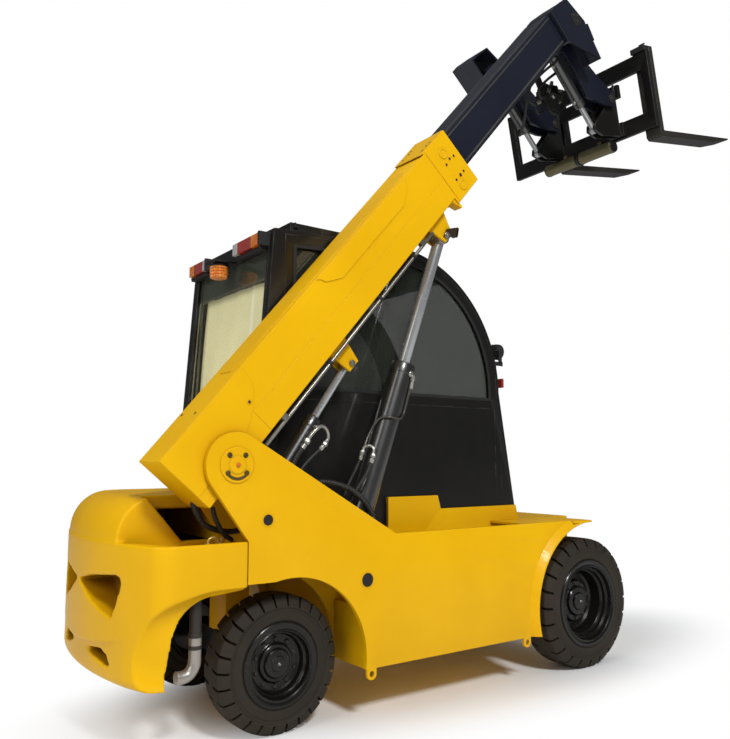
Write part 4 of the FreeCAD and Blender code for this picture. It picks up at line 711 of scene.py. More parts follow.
film = grain(door_tint, 3.0, 4.0)
door_tint.feed({"Base Color": between(door_tint, film, (0.018, 0.022, 0.016, 1),
                                      (0.028, 0.033, 0.025, 1)),
                "Alpha": 0.52 + (film - 0.5) * 0.1})
dressed("door_glass", door_tint, 0.001)

# The cloth glows faintly in its own colour, a painted light that brightens the blind behind the rear pane.
woven = Finish("woven_blind_with_painted_glow", {"Roughness": 0.8, "Specular IOR Level": 0.2,
                               "Emission Strength": 0.22})
spot = woven.add("ShaderNodeTexCoord", {}, {}, "Object")
parts = woven.add("ShaderNodeSeparateXYZ", {}, {0: spot}, None)
beside, above = [Reading(woven, parts.outputs[number]) for number in (1, 2)]


def threads(reading, pitch, share):
    """1 on the thin lines between a weave's cells."""
    part = (reading / pitch).worked("FRACT", reading / pitch)
    return part.worked("LESS_THAN", part, share)


grid = (threads(beside, 0.012, 0.22) + threads(above, 0.012, 0.22)).limited()
hem = (beside + 0.045).worked("ABSOLUTE", beside + 0.045)
hem = hem.worked("LESS_THAN", hem, 0.014)
cloth = between(woven, grid * 0.45, (0.93, 0.87, 0.5, 1), (0.5, 0.47, 0.27, 1))
cloth = between(woven, hem, cloth, (0.94, 0.9, 0.66, 1))
cloth = between(woven, grain(woven, 6.0) * 0.3, cloth, (0.66, 0.62, 0.36, 1))
woven.feed({"Base Color": cloth, "Emission Color": cloth,
            "Normal": relief(woven, grid, -0.0006)})
rise = 100 / 1445
blind_foot, blind_head = 1.425, 2.03
blind = bmesh.new()
sheet = []
for row in range(13):
    height = blind_foot + row * (blind_head - blind_foot) / 12
    sheet.append([blind.verts.new((cab_low.x + 0.06 + (height - cab_low.z) * rise
                                   + 0.0025 * math.sin(column * 1.1 + row * 0.35),
                                   -0.262 + column * 0.0314, height + 0.018 * column / 25))
                  for column in range(26)])
for low, high in zip(sheet, sheet[1:]):
    for column in range(25):
        blind.faces.new((low[column], low[column + 1], high[column + 1], high[column]))
shade = placed(blind, "rear_window_blind", "machine", woven)
thick = shade.modifiers.new("cloth_thickness", "SOLIDIFY")
thick.thickness = 0.0015
bars = bmesh.new()
for height in (blind_foot, blind_head + 0.006):
    swept(bars, [Vector((cab_low.x + 0.06 + (height - cab_low.z) * rise, y, height
                         + (0.009 if height > 2 else 0))) for y in (-0.262, 0.14, 0.4255)], 0.006)
placed(bars, "rear_blind_bars", "machine", rubber_black)

# Tail lamps in black cases along the top of the rear wall, in clear, red and amber lenses.
red = sprayed("red_lens", (0.42, 0.035, 0.022), (0.28, 0.02, 0.014), (0.7, 0.22, 0.15), 0.22, 0.5,
              dust_and_shade=0.5, reach=0.02)
amber = sprayed("amber_lens", (0.88, 0.25, 0.018), (0.62, 0.15, 0.008), (1.0, 0.62, 0.15), 0.2,
                0.5, wear_and_highlight=0.9, dust_and_shade=0.7, dirt_and_shade=(0.25, 0.05, 0.003), reach=0.015)
clear = sprayed("clear_lens", (0.55, 0.55, 0.53), (0.38, 0.38, 0.37), (0.8, 0.8, 0.78), 0.18, 0.5,
                dust_and_shade=0.5, reach=0.02)
lamp_z = 2.178
wall_x = cab_low.x + (lamp_z - cab_low.z) * rise
case = bmesh.new()
lenses = {"red": bmesh.new(), "amber": bmesh.new(), "clear": bmesh.new()}
ridge = [(wall_x - 0.052 + (0.0022 if step % 2 else 0), lamp_z + 0.006 + 0.0048 * step)
         for step in range(13)]
for low, high, colours in (
        (-0.29, 0.02, (("amber", 0.024, 0.1), ("red", 0.104, 0.245), ("clear", 0.249, 0.3))),
        (0.33, 0.59, (("clear", 0.01, 0.055), ("red", 0.059, 0.17), ("amber", 0.174, 0.235)))):
    block(case, (wall_x - 0.03, low, lamp_z - 0.001), (wall_x + 0.006, high, lamp_z + 0.068))
    block(case, (wall_x - 0.056, low, lamp_z - 0.001),
          (wall_x - 0.024, low + 0.02, lamp_z + 0.068))
    block(case, (wall_x - 0.036, low + 0.02, lamp_z - 0.016),
          (wall_x + 0.004, high - 0.02, lamp_z))
    for colour, start, stop in colours:
        slab(lenses[colour], [(wall_x - 0.028, lamp_z + 0.004)] + ridge
             + [(wall_x - 0.028, lamp_z + 0.066)], -low - stop, -low - start, across)
placed(case, "tail_lamp_cases", "machine", rubber_black, 0.003)
for colour, finish in (("red", red), ("amber", amber), ("clear", clear)):
    placed(lenses[colour], "tail_lamp_%s_lenses" % colour, "machine", finish,
           0.0012)

# A round work lamp on a bent bracket by the windscreen, and a side marker under it.
lamp_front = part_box("cab_lamps")[1].x
lamp = bmesh.new()
ahead = facing((lamp_front - 0.064, -0.28, 1.79), (1, 0, 0))
lathe(lamp, [(0.014, -0.004), (0.026, 0.002), (0.04, 0.016), (0.0465, 0.03), (0.047, 0.054),
             (0.045, 0.0555), (0.042, 0.0555), (0.041, 0.05)], ahead, 40)
for turn in range(0, 360, 30):
    fin = Matrix.Rotation(math.radians(turn), 4, "Z")
    block(lamp, (0.024, -0.0015, -0.001), (0.043, 0.0015, 0.026), ahead @ fin)
block(lamp, (lamp_front - 0.1, -0.3338, 1.7), (lamp_front - 0.03, -0.3265, 1.724))
block(lamp, (lamp_front - 0.06, -0.3338, 1.715), (lamp_front - 0.036, -0.3265, 1.8))
block(lamp, (lamp_front - 0.056, -0.3338, 1.776), (lamp_front - 0.04, -0.3, 1.79))
bolt(lamp, facing((lamp_front - 0.048, -0.3338, 1.783), (0, -1, 0)), 0.006)
work_lamp = placed(lamp, "work_lamp", "machine", rubber_black, 0.001)
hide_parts("cab_lamps")
front_lens = bmesh.new()
lathe(front_lens, [(0.0405, 0.046), (0.0405, 0.051), (0.03, 0.0545), (0.012, 0.0555)], ahead, 40)
placed(front_lens, "work_lamp_lens", "machine", clear)
marker = bmesh.new()
block(marker, (0.208, -0.25, 1.585), (0.2275, -0.205, 1.64))
placed(marker, "side_marker_lamp", "machine", red, 0.004)

# The beacon: a ribbed amber lens hung in a collar under a folded plate.
beacon_low, beacon_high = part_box("beacon")
beacon_x = beacon_low.x + 0.054
beacon_y = (beacon_low.y + beacon_high.y) / 2
under = Matrix.Translation((beacon_x, beacon_y, 0))
glow = bmesh.new()
profile = []
for tier in range(4):
    base = beacon_low.z + 0.004 + tier * 0.0155
    widest = 0.0455 if tier else 0.043
    profile += [(widest - 0.004, base), (widest, base + 0.003), (widest, base + 0.0125)]
lathe(glow, [(0.028, beacon_low.z)] + profile + [(0.04, beacon_low.z + 0.066)], under, 96, 24,
      0.0018)
lens = placed(glow, "beacon_lens", "machine", amber, sharp=20)
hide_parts("beacon")
collar = bmesh.new()
lathe(collar, [(0.046, beacon_low.z + 0.065), (0.048, beacon_low.z + 0.068),
               (0.048, beacon_low.z + 0.074), (0.036, beacon_low.z + 0.08)], under, 48)
block(collar, (beacon_low.x, beacon_low.y, beacon_high.z - 0.008),
      (wall_x + 0.004, beacon_high.y, beacon_high.z))
block(collar, (beacon_low.x, beacon_low.y, beacon_high.z - 0.018),
      (beacon_low.x + 0.003, beacon_high.y, beacon_high.z - 0.004))
placed(collar, "beacon_plate", "machine", cab_black, 0.001)

# Roof fittings: a cable gland, a lamp bracket and the seams of the raised roof box.
gland = bmesh.new()
lathe(gland, [(0.026, -0.003), (0.026, 0.006), (0.018, 0.014), (0.01, 0.017)],
      Matrix.Translation((-1.33, -0.215, 2.268)), 24)
block(gland, (-1.262, -0.3, 2.294), (-1.24, -0.27, 2.3))
block(gland, (-1.253, -0.292, 2.294), (-1.249, -0.276, 2.322))
placed(gland, "roof_fittings", "machine", nut_steel, 0.001)
box_seams = bmesh.new()
for x in (-1.1, -0.9):
    block(box_seams, (x, -0.2895, 2.27), (x + 0.13, -0.2855, 2.312))
placed(box_seams, "roof_box_panels", "machine", cab_black, 0.0015)

# Door fittings on the left: a pressed handle in its dish and a grab rail on the post.
handle = bmesh.new()
block(handle, (-0.075, left_face - 0.001, 1.045), (0.01, left_face + 0.004, 1.095))
swept(handle, eased([(-0.062, left_face + 0.003, 1.07), (-0.055, left_face + 0.018, 1.07),
                     (-0.03, left_face + 0.021, 1.07), (-0.008, left_face + 0.018, 1.07),
                     (-0.001, left_face + 0.003, 1.07)], 5), 0.0055)
placed(handle, "door_handle", "door", rubber_black, 0.001)
rail = bmesh.new()
swept(rail, eased([(0.178, left_face - 0.002, 1.0), (0.178, left_face + 0.026, 1.02),
                   (0.18, left_face + 0.03, 1.06), (0.16, left_face + 0.03, 1.42),
                   (0.158, left_face + 0.026, 1.46), (0.158, left_face - 0.002, 1.48)], 6), 0.01)
placed(rail, "grab_rail", "machine", cab_black)

# ---- Seat: a sprung seat on a rubber bellows, with two foam cushions sewn in dark cloth
# over a moulded shell, and the steering column with its padded wheel in front.
moulded = sprayed("moulded_plastic", (0.02, 0.02, 0.021), (0.014, 0.014, 0.015),
                  (0.05, 0.05, 0.05), 0.5, 0.0, shine=0.3)
dressed("steering_column", moulded, 0.006)
seat_low, seat_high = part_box("operator_seat")
seat_mid = (seat_low.y + seat_high.y) / 2
pan = bmesh.new()
for fold in range(7):
    inset = 0.012 * (fold % 2)
    block(pan, (-1.06 + inset, seat_low.y + 0.03 + inset, 0.832 + 0.042 * fold),
          (-0.69 - inset, seat_high.y - 0.03 - inset, 0.874 + 0.042 * fold))
block(pan, (-1.08, seat_low.y + 0.01, 1.126), (-0.64, seat_high.y - 0.01, 1.176))
slab(pan, [(-1.128, 1.15), (-1.1, 1.15), (-1.155, 1.82), (-1.182, 1.82)],
     -seat_high.y + 0.02, -seat_low.y - 0.02, across)
shell = placed(pan, "seat_shell", "machine", moulded, 0.005)
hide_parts("operator_seat")
fabric = Finish("seat_cloth", {"Specular IOR Level": 0.25, "Sheen Weight": 0.3})
spot = fabric.add("ShaderNodeTexCoord", {}, {}, "Object")
weave = fabric.add("ShaderNodeTexChecker", {}, {"Vector": spot, "Scale": 420.0}, 1)
blotch = grain(fabric, 9.0)
fabric.feed({"Base Color": between(fabric, blotch, (0.02, 0.02, 0.023, 1),
                                   (0.034, 0.034, 0.038, 1)),
             "Roughness": 0.78 + blotch * 0.12,
             "Normal": relief(fabric, weave, 0.0005)})


def stuffed(shape, name, cap):
    """A foam cushion, swollen by pressure with no point moving further than a cap."""
    piece = placed(shape, name, "machine", fabric)
    piece.parent = None
    skin = piece.modifiers.new("skin", "REMESH")
    skin.mode = "VOXEL"
    skin.voxel_size = 0.006
    depsgraph = bpy.context.evaluated_depsgraph_get()
    piece.data = bpy.data.meshes.new_from_object(piece.evaluated_get(depsgraph))
    piece.modifiers.clear()
    before = [vertex.co.copy() for vertex in piece.data.vertices]
    air = piece.modifiers.new("air", "CLOTH")
    air.settings.use_pressure = True
    air.settings.uniform_pressure_force = 4
    air.settings.effector_weights.gravity = 0
    air.point_cache.frame_start = 1
    air.point_cache.frame_end = 20
    for number in range(1, 21):
        bpy.context.scene.frame_set(number)
    depsgraph = bpy.context.evaluated_depsgraph_get()
    swollen = bpy.data.meshes.new_from_object(piece.evaluated_get(depsgraph))
    piece.modifiers.clear()
    for vertex, start, end in zip(piece.data.vertices, before, swollen.vertices):
        move = end.co - start
        vertex.co = start + move * min(1.0, cap / max(move.length, 1e-9))
    bpy.context.scene.frame_set(1)
    return piece


def sewn(piece, depth, *channels):
    """Presses seams into a cushion, each a function that is 0 along its line."""
    for vertex in piece.data.vertices:
        near = min(abs(channel(vertex.co)) for channel in channels)
        press = depth * math.exp(-(near / 0.007) ** 2)
        vertex.co -= vertex.normal * press
    piece.data.shade_smooth()
    smooth = piece.modifiers.new("subdivided", "SUBSURF")
    smooth.levels = 1
    smooth.render_levels = 1
    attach(piece, "machine")


pad = bmesh.new()
slab(pad, [(-1.06, 1.186), (-0.65, 1.186), (-0.64, 1.21), (-0.65, 1.258), (-0.72, 1.27),
           (-0.9, 1.25), (-1.05, 1.262)], -seat_high.y + 0.014, -seat_low.y - 0.014, across)
sewn(stuffed(pad, "seat_cushion", 0.012), 0.006, lambda spot: spot.y - seat_mid - 0.095,
     lambda spot: spot.y - seat_mid + 0.095, lambda spot: spot.x + 0.78,
     lambda spot: spot.z - 1.222)
rest = bmesh.new()
slab(rest, [(-1.086, 1.29), (-1.01, 1.29), (-1.0, 1.42), (-1.035, 1.6), (-1.06, 1.836),
            (-1.13, 1.836), (-1.136, 1.7)], -seat_high.y + 0.02, -seat_low.y - 0.02, across)
sewn(stuffed(rest, "back_cushion", 0.012), 0.006, lambda spot: spot.y - seat_mid - 0.09,
     lambda spot: spot.y - seat_mid + 0.09, lambda spot: spot.z - 1.5,
     lambda spot: spot.z - 1.68)

# ---- Boom, outer section: a folded and welded box with doubler plates let on to its sides
# and top, a collar with the slide pads' screws and bosses, and its pin through the ears.
dressed("boom_outer", yellow, 0.004, split=False)
plated = sprayed("plated_steel", (0.36, 0.35, 0.31), (0.24, 0.23, 0.2), (0.55, 0.53, 0.48),
                 0.34, 0.0, metal=0.8)
dressed("frame_pins", yellow, 0.002)
lift = math.radians(49.2)
boom_place = Matrix(((math.cos(lift), 0, -math.sin(lift), pivot.x), (0, 1, 0, 0),
                     (math.sin(lift), 0, math.cos(lift), pivot.z), (0, 0, 0, 1)))
boom_right, boom_left = -0.586, -0.356
boom_row = (boom_right + boom_left) / 2
boom_side = boom_place @ across
plates = bmesh.new()
for face in (-boom_right, -boom_left):
    outward = 1 if face == -boom_right else -1
    for outline, thick in (
            ([(0.88, 0.246), (0.9, 0.232), (0.912, 0.205), (0.997, 0.157), (1.556, 0.154),
              (1.649, 0.21), (1.66, 0.246)], 0.0045),
            ([(0.224, -0.034), (1.874, -0.034), (1.874, 0.08), (0.224, 0.08)], 0.0022),
            ([(-0.194, 0.244), (-0.194, 0.03), (0.1, 0.03), (0.186, 0.066), (0.242, 0.098),
              (0.293, 0.139), (0.317, 0.186), (0.322, 0.244)], 0.0022),
            ([(1.88, -0.07), (2.0795, -0.07), (2.0795, 0.254), (1.88, 0.254)], 0.0035)):
        slab(plates, outline, *sorted((face - outward * 0.002, face + outward * thick)),
             boom_side)
slab(plates, [(0.34, -0.548), (1.7, -0.548), (1.74, -0.52), (1.74, -0.42), (1.7, -0.392),
              (0.34, -0.392), (0.3, -0.42), (0.3, -0.52)], 0.246, 0.2515, boom_place)
slab(plates, [(1.862, -0.358), (2.0795, -0.358), (2.0795, -0.584), (1.85, -0.584)], 0.2545,
     0.259, boom_place)
slab(plates, [(1.838, -0.036), (1.872, -0.105), (1.88, -0.105), (1.88, -0.034)], 0.52, 0.578,
     boom_side)
placed(plates, "boom_doubler_plates", "boom", yellow, 0.0016)
# Dark discs, painted as the shade inside the pads' screw holes, each in a yellow rim.
hole_dark = sprayed("tapped_hole_shade", (0.045, 0.016, 0.004), (0.03, 0.011, 0.003),
                    (0.2, 0.1, 0.01), 0.6, 0.0)
marks = bmesh.new()
rims = bmesh.new()
outward_turn = Matrix.Rotation(math.radians(90), 4, "X")
for along, above, size in ((2.031, 0.122, 0.0075), (1.995, 0.128, 0.0075), (1.952, 0.12, 0.0075),
                           (2.027, 0.025, 0.0075), (1.992, 0.024, 0.01), (1.947, 0.024, 0.0075),
                           (0.239, 0.122, 0.007)):
    at = boom_place @ Matrix.Translation((along, boom_right - 0.0028, above)) @ outward_turn
    lathe(marks, [(size, -0.003), (size, 0.0014), (size * 0.6, 0.0016)], at, 16)
    lathe(rims, [(size + 0.0045, -0.003), (size + 0.004, 0.0012), (size, 0.0018),
                 (size - 0.0005, -0.002)], at, 20)
for along, beside in ((1.979, -0.558), (1.95, -0.553), (1.903, -0.558), (1.985, -0.4),
                      (1.955, -0.404), (1.901, -0.4), (0.061, -0.387), (0.064, -0.52)):
    height = 0.2585 if along > 1 else 0.2475
    lathe(marks, [(0.0075, -0.003), (0.0075, 0.001), (0.005, 0.0012)],
          boom_place @ Matrix.Translation((along, beside, height)), 16)
placed(marks, "pad_screw_holes", "boom", hole_dark)
placed(rims, "pad_screw_rims", "boom", yellow)
bosses = bmesh.new()
for along, above in ((1.978, 0.175), (1.968, -0.022)):
    at = boom_place @ Matrix.Translation((along, boom_right - 0.003, above)) @ outward_turn
    lathe(bosses, [(0.03, -0.003), (0.0295, 0.003), (0.027, 0.0048), (0.022, 0.0048),
                   (0.02, 0.0022)], at, 40)
placed(bosses, "collar_bosses", "boom", yellow)
dressed("boom_pipe", plated, 0.0005)
clips = bmesh.new()
for along in (0.66, 1.1, 1.42):
    swept(clips, [boom_place @ Vector((along + way * 0.009, boom_right + 0.02, -0.0665))
                  for way in (-1, 1)], 0.0125, 20)
    block(clips, (along - 0.009, -0.066, 0.56), (along + 0.009, -0.034, 0.572), boom_side)
placed(clips, "boom_pipe_clips", "boom", rubber_black, 0.0006)

# The keeper of the lift rod's pin, and the two rods' pins in the boom's ears.
lift_eye = boom_place @ Vector((1.714, 0, -0.153))
level_eye = boom_place @ Vector((0.775, 0, -0.172))
brown_steel = sprayed("brown_pin_steel", (0.06, 0.036, 0.018), (0.035, 0.022, 0.012),
                      (0.16, 0.12, 0.08), 0.5, 0.0, metal=0.4)
eye_pins = bmesh.new()
for eye, radius, half in ((lift_eye, 0.019, 0.062), (level_eye, 0.015, 0.048)):
    for turned in (-1, 1):
        at = facing((eye.x, boom_row + turned * (half - 0.003), eye.z), (0, turned, 0))
        lathe(eye_pins, [(radius, -0.004), (radius, 0.006), (radius * 0.8, 0.0085)], at, 32)
        lathe(eye_pins, [(radius * 0.4, 0.006), (radius * 0.4, 0.01), (0.003, 0.0125)], at, 16)
placed(eye_pins, "rod_eye_pins", "boom", plated)
keeper_bar = bmesh.new()
slab(keeper_bar, [(1.69, -0.14), (1.76, -0.205), (1.802, -0.178), (1.786, -0.158),
                  (1.738, -0.128)], 0.528, 0.537, boom_side)
slab(keeper_bar, [(1.764, -0.205), (1.808, -0.18), (1.8, -0.166), (1.756, -0.192)], 0.5,
     0.537, boom_side)
placed(keeper_bar, "lift_pin_keeper", "boom", brown_steel, 0.0015)

# ---- Lift and levelling cylinders: honed tubes in gloss black with chromed rods, a steel
# line clipped to the lift barrel, and hoses crimped into plated end fittings.
cylinder_black = sprayed("cylinder_gloss_black", (0.013, 0.0125, 0.012), (0.009, 0.009, 0.0085),
                         (0.07, 0.07, 0.065), 0.34, 0.8, shine=0.9, wear_and_highlight=0.4, dust_and_shade=0.2)
chrome = sprayed("chromed_rod", (0.56, 0.57, 0.58), (0.44, 0.45, 0.46), (0.72, 0.72, 0.72), 0.26,
                 0.0, metal=0.72, dust_and_shade=0.1)
dressed("lift_barrel", cylinder_black, 0.0015)
dressed("level_barrel", cylinder_black, 0.001)
for node in ("lift_rod", "level_rod"):
    dressed(node, chrome, 0.001)
pin_at = {joint["name"]: Vector(joint["pos_m"]) for joint in frame["joints"]
          if "pos_m" in joint}
lift_foot = pin_at["lift_cylinder_swing"]
level_foot = pin_at["level_cylinder_swing"]


def along_barrel(foot, top, reach, turn, radius):
    """A point beside a barrel, turned from the right side (0) towards the front (90)."""
    axis = (Vector((top.x, 0, top.z)) - Vector((foot.x, 0, foot.z))).normalized()
    front = Vector((axis.z, 0, -axis.x))
    angle = math.radians(turn)
    return foot + axis * reach + radius * (Vector((0, -math.cos(angle), 0))
                                           + front * math.sin(angle))


for foot, top, radius, reach, rod, body in (
        (lift_foot, lift_eye, 0.06, 1.095, 0.0305, "lift_cylinder"),
        (level_foot, level_eye, 0.036, 0.505, 0.0185, "level_cylinder")):
    glands = bmesh.new()
    axis = (Vector((top.x, foot.y, top.z)) - foot).normalized()
    at = facing(foot + axis * reach, axis)
    lathe(glands, [(radius - 0.002, -0.054), (radius + 0.003, -0.05), (radius + 0.0035, -0.004),
                   (radius + 0.001, 0.0015), (rod + 0.008, 0.0015), (rod + 0.006, 0.006),
                   (rod + 0.001, 0.007)], at, 56)
    placed(glands, body + "_gland", body, cylinder_black)
# The edges of the hose guards' ribs lighten toward grey: wear, and painted highlights along the ribs.
hose_rubber = sprayed("hose_rubber", (0.02, 0.019, 0.016), (0.012, 0.011, 0.01),
                      (0.13, 0.13, 0.11), 0.45, 0.0, shine=0.4, wear_and_highlight=0.9)
bare_line = sprayed("bare_steel_line", (0.13, 0.12, 0.105), (0.08, 0.075, 0.065),
                    (0.3, 0.29, 0.26), 0.34, 0.1, metal=0.7)
silver = sprayed("plated_hose_fitting", (0.5, 0.49, 0.44), (0.36, 0.35, 0.31),
                 (0.7, 0.68, 0.62), 0.3, 0.0, metal=0.75)
gold = sprayed("passivated_fitting", (0.62, 0.42, 0.1), (0.45, 0.3, 0.06), (0.75, 0.6, 0.3),
               0.34, 0.0, metal=0.6)


def hose(name, body, points, radius=0.009, rib=0.0011, finish=None):
    """A hose or line through points, with the spiral guard's ribs where it has a rib."""
    tube = bmesh.new()
    swept(tube, eased(points, 40 if rib else 8), radius, 14, rib)
    return placed(tube, name, body, finish or hose_rubber, sharp=60)


def crimped(shape, start, end, radius=0.01):
    """A crimped hose end with its hexagon nut, from the hose's cut to the port."""
    way = (Vector(end) - Vector(start))
    at, long = facing(start, way), way.length
    lathe(shape, [(radius * 0.9, -0.004), (radius * 1.15, 0), (radius * 1.15, long * 0.42),
                  (radius * 0.8, long * 0.48)], at, 20)
    lathe(shape, [(radius * 1.2, long * 0.5), (radius * 1.35, long * 0.56),
                  (radius * 1.35, long * 0.92), (radius * 1.1, long)], at, 6)


def beside_lift(reach, turn, radius=0.069):
    return along_barrel(lift_foot, lift_eye, reach, turn, radius)


def lift_line(*spots):
    return [beside_lift(*spot) for spot in spots]


port = bmesh.new()
lathe(port, [(0.017, -0.012), (0.017, 0.008), (0.014, 0.012)],
      facing(beside_lift(1.05, 20, 0.056),
             beside_lift(1.05, 20, 0.1) - beside_lift(1.05, 20, 0)), 20)
crimped(port, *lift_line((0.985, 38, 0.072), (1.046, 26, 0.074)), 0.0085)
placed(port, "lift_rod_end_port", "lift_cylinder", silver)
hose("lift_barrel_line", "lift_cylinder",
     lift_line((1.045, 26, 0.074), (0.985, 38), (0.9, 48), (0.845, 46), (0.812, 20),
               (0.8, -25), (0.785, -62), (0.745, -82, 0.073), (0.68, -86, 0.084),
               (0.6, -82, 0.096)), 0.0062, 0, bare_line)
bends = bmesh.new()
swept(bends, eased(lift_line((0.605, -82, 0.096), (0.622, -78, 0.098), (0.632, -64, 0.094),
                             (0.622, -50, 0.09), (0.59, -46, 0.088))), 0.0075, 16)
crimped(bends, *lift_line((0.555, -46, 0.088), (0.6, -46, 0.088)), 0.0095)
crimped(bends, *lift_line((0.56, -83, 0.095), (0.605, -82, 0.096)), 0.009)
placed(bends, "lift_line_bend", "lift_cylinder", silver)
hose("lift_line_hose", "lift_cylinder",
     lift_line((0.56, -46, 0.088), (0.5, -50, 0.09), (0.42, -62, 0.098), (0.33, -74, 0.1),
               (0.24, -80, 0.088)), 0.0095)
hose("lift_line_hose_thin", "lift_cylinder",
     lift_line((0.565, -83, 0.095), (0.5, -84, 0.104), (0.41, -86, 0.118), (0.3, -88, 0.11),
               (0.22, -88, 0.092)), 0.0075)
foot_hose = hose("lift_foot_hose", "machine",
                 [(-1.36, -0.53, 1.005), (-1.3, -0.528, 1.042), (-1.245, -0.526, 1.057),
                  (-1.164, -0.53, 1.047), (-1.085, -0.54, 1.018), (-1.025, -0.55, 0.97),
                  (-0.985, -0.556, 0.913), (-0.972, -0.552, 0.86), (-0.985, -0.538, 0.815)],
                 0.0125, 0.0016)
foot_hose.parent = None
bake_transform(foot_hose)


loops = bmesh.new()
swept(loops, eased([(-1.318, -0.524, 1.24), (-1.296, -0.526, 1.268), (-1.266, -0.526, 1.296),
                    (-1.238, -0.522, 1.308), (-1.208, -0.515, 1.292), (-1.196, -0.51, 1.258),
                    (-1.212, -0.51, 1.228)]), 0.0085, 16)
crimped(loops, (-1.344, -0.524, 1.206), (-1.31, -0.525, 1.25), 0.011)
crimped(loops, (-1.238, -0.51, 1.204), (-1.206, -0.51, 1.236), 0.01)
lathe(loops, [(0.014, -0.004), (0.014, 0.02), (0.011, 0.024)],
      facing((-1.262, -0.5, 1.3), (0, -1, 0)), 6)
placed(loops, "level_line_bend", "level_cylinder", silver)
hose("level_hose", "level_cylinder",
     [(-1.34, -0.524, 1.211), (-1.368, -0.524, 1.176), (-1.392, -0.524, 1.134),
      (-1.412, -0.522, 1.08), (-1.43, -0.518, 1.02)], 0.0125, 0.0016)
hose("level_hose_thin", "level_cylinder",
     [(-1.236, -0.51, 1.206), (-1.285, -0.512, 1.168), (-1.33, -0.514, 1.126),
      (-1.372, -0.516, 1.07), (-1.4, -0.516, 1.01)], 0.008, 0.0)
hose("tail_hose_upper", "machine",
     [(-1.822, -0.452, 0.985), (-1.806, -0.452, 0.945), (-1.77, -0.452, 0.893),
      (-1.716, -0.452, 0.866), (-1.65, -0.452, 0.855), (-1.58, -0.452, 0.862)], 0.0115, 0.0015)
hose("tail_hose_lower", "machine",
     [(-1.748, -0.486, 0.962), (-1.738, -0.486, 0.925), (-1.716, -0.486, 0.88),
      (-1.69, -0.486, 0.846), (-1.655, -0.486, 0.822)], 0.0095)
unions = bmesh.new()
swept(unions, eased([(-1.772, -0.5, 0.812), (-1.764, -0.5, 0.834), (-1.742, -0.5, 0.838),
                     (-1.728, -0.5, 0.82)]), 0.007, 16)
crimped(unions, (-1.712, -0.486, 0.8), (-1.7, -0.486, 0.836), 0.0095)
lathe(unions, [(0.013, 0), (0.013, 0.014), (0.01, 0.018)],
      Matrix.Translation((-1.772, -0.5, 0.8)), 6)
placed(unions, "tail_hose_unions", "machine", gold)

# ---- Boom, inner section and head: a folded inner box in dark gloss paint with pale strips
# by its edges, slide wear and painted highlight together, and a gooseneck head of plates welded
# across its mouth.
navy = sprayed("navy_gloss_paint", (0.0105, 0.013, 0.026), (0.0075, 0.009, 0.018),
               (0.075, 0.074, 0.062), 0.3, 0.22, shine=0.4, wear_and_highlight=0.8, dust_and_shade=0.3)
dressed("boom_inner", navy, 0.012, segments=3)
dressed("boom_head", navy, 0.003)
worn_and_highlight_band = sprayed("slide_wear_and_highlight_band", (0.105, 0.098, 0.075), (0.055, 0.053, 0.045),
                    (0.24, 0.23, 0.19), 0.42, 0.0, metal=0.3, dust_and_shade=0.4)
# Thin pale grey strips near the top and bottom edges: slide wear, and a painted highlight on the edges.
bands = bmesh.new()
band_start, band_end = 2.084, 3.4
for low, high in ((0.036, 0.047), (0.204, 0.212)):
    block(bands, (band_start, low, 0.565), (band_end, high, 0.56622), boom_side)
for low, high in ((-0.553, -0.53), (-0.4, -0.389)):
    block(bands, (band_start, low, 0.227), (band_end, high, 0.22822), boom_place)
placed(bands, "inner_boom_wear_and_highlight_bands", "extension", worn_and_highlight_band, 0.0006)
head_side = 0.591
fitting = bmesh.new()
slab(fitting, [(3.548, 0.05), (3.562, 0.12), (3.575, 0.128), (3.632, 0.1), (3.64, 0.088),
               (3.616, 0.034), (3.604, 0.026), (3.56, 0.04)], head_side - 0.001,
     head_side + 0.004, boom_side)
placed(fitting, "head_bolt_plate", "extension", rubber_black, 0.002)
studs = bmesh.new()
for along, above in ((3.59, 0.104), (3.596, 0.052), (3.622, 0.08)):
    bolt(studs, boom_place @ Matrix.Translation((along, -head_side - 0.004, above))
         @ outward_turn, 0.008)
placed(studs, "head_bolts", "extension", nut_steel, 0.0005)
blank = bmesh.new()
slab(blank, [(3.604, 0.022), (3.676, -0.004), (3.648, -0.112), (3.574, -0.088)],
     head_side - 0.001, head_side + 0.0012, boom_side)
placed(blank, "head_blank_plate", "extension", navy, 0.0004)
weld = bmesh.new()
for line in ([(3.413, 0.002), (3.413, 0.228)], [(3.413, 0.2305), (3.47, 0.2325),
                                                          (3.612, 0.212)]):
    swept(weld, eased([boom_place @ Vector((along, -0.5895, above)) for along, above in line], 30),
          0.0035, 8, 0.0007, 0.006)
placed(weld, "head_welds", "extension", navy, sharp=80)
pin_heads = bmesh.new()
carriage_pin = pin_at["carriage_tilt"]
tilt_eye = pin_at["tilt_cylinder_swing"]
arm_rows = (-0.388, 0.095)
for y in arm_rows:
    for turned in (-1, 1):
        for eye, radius in ((carriage_pin, 0.034), (tilt_eye, 0.026)):
            at = facing((eye.x, y + turned * 0.0635, eye.z), (0, turned, 0))
            lathe(pin_heads, [(radius, -0.002), (radius, 0.006), (radius * 0.9, 0.008)], at, 32)
            bolt(pin_heads, at @ Matrix.Translation((0, 0, 0.007)), 0.009)
placed(pin_heads, "head_pin_caps", "extension", nut_steel, 0.0005)

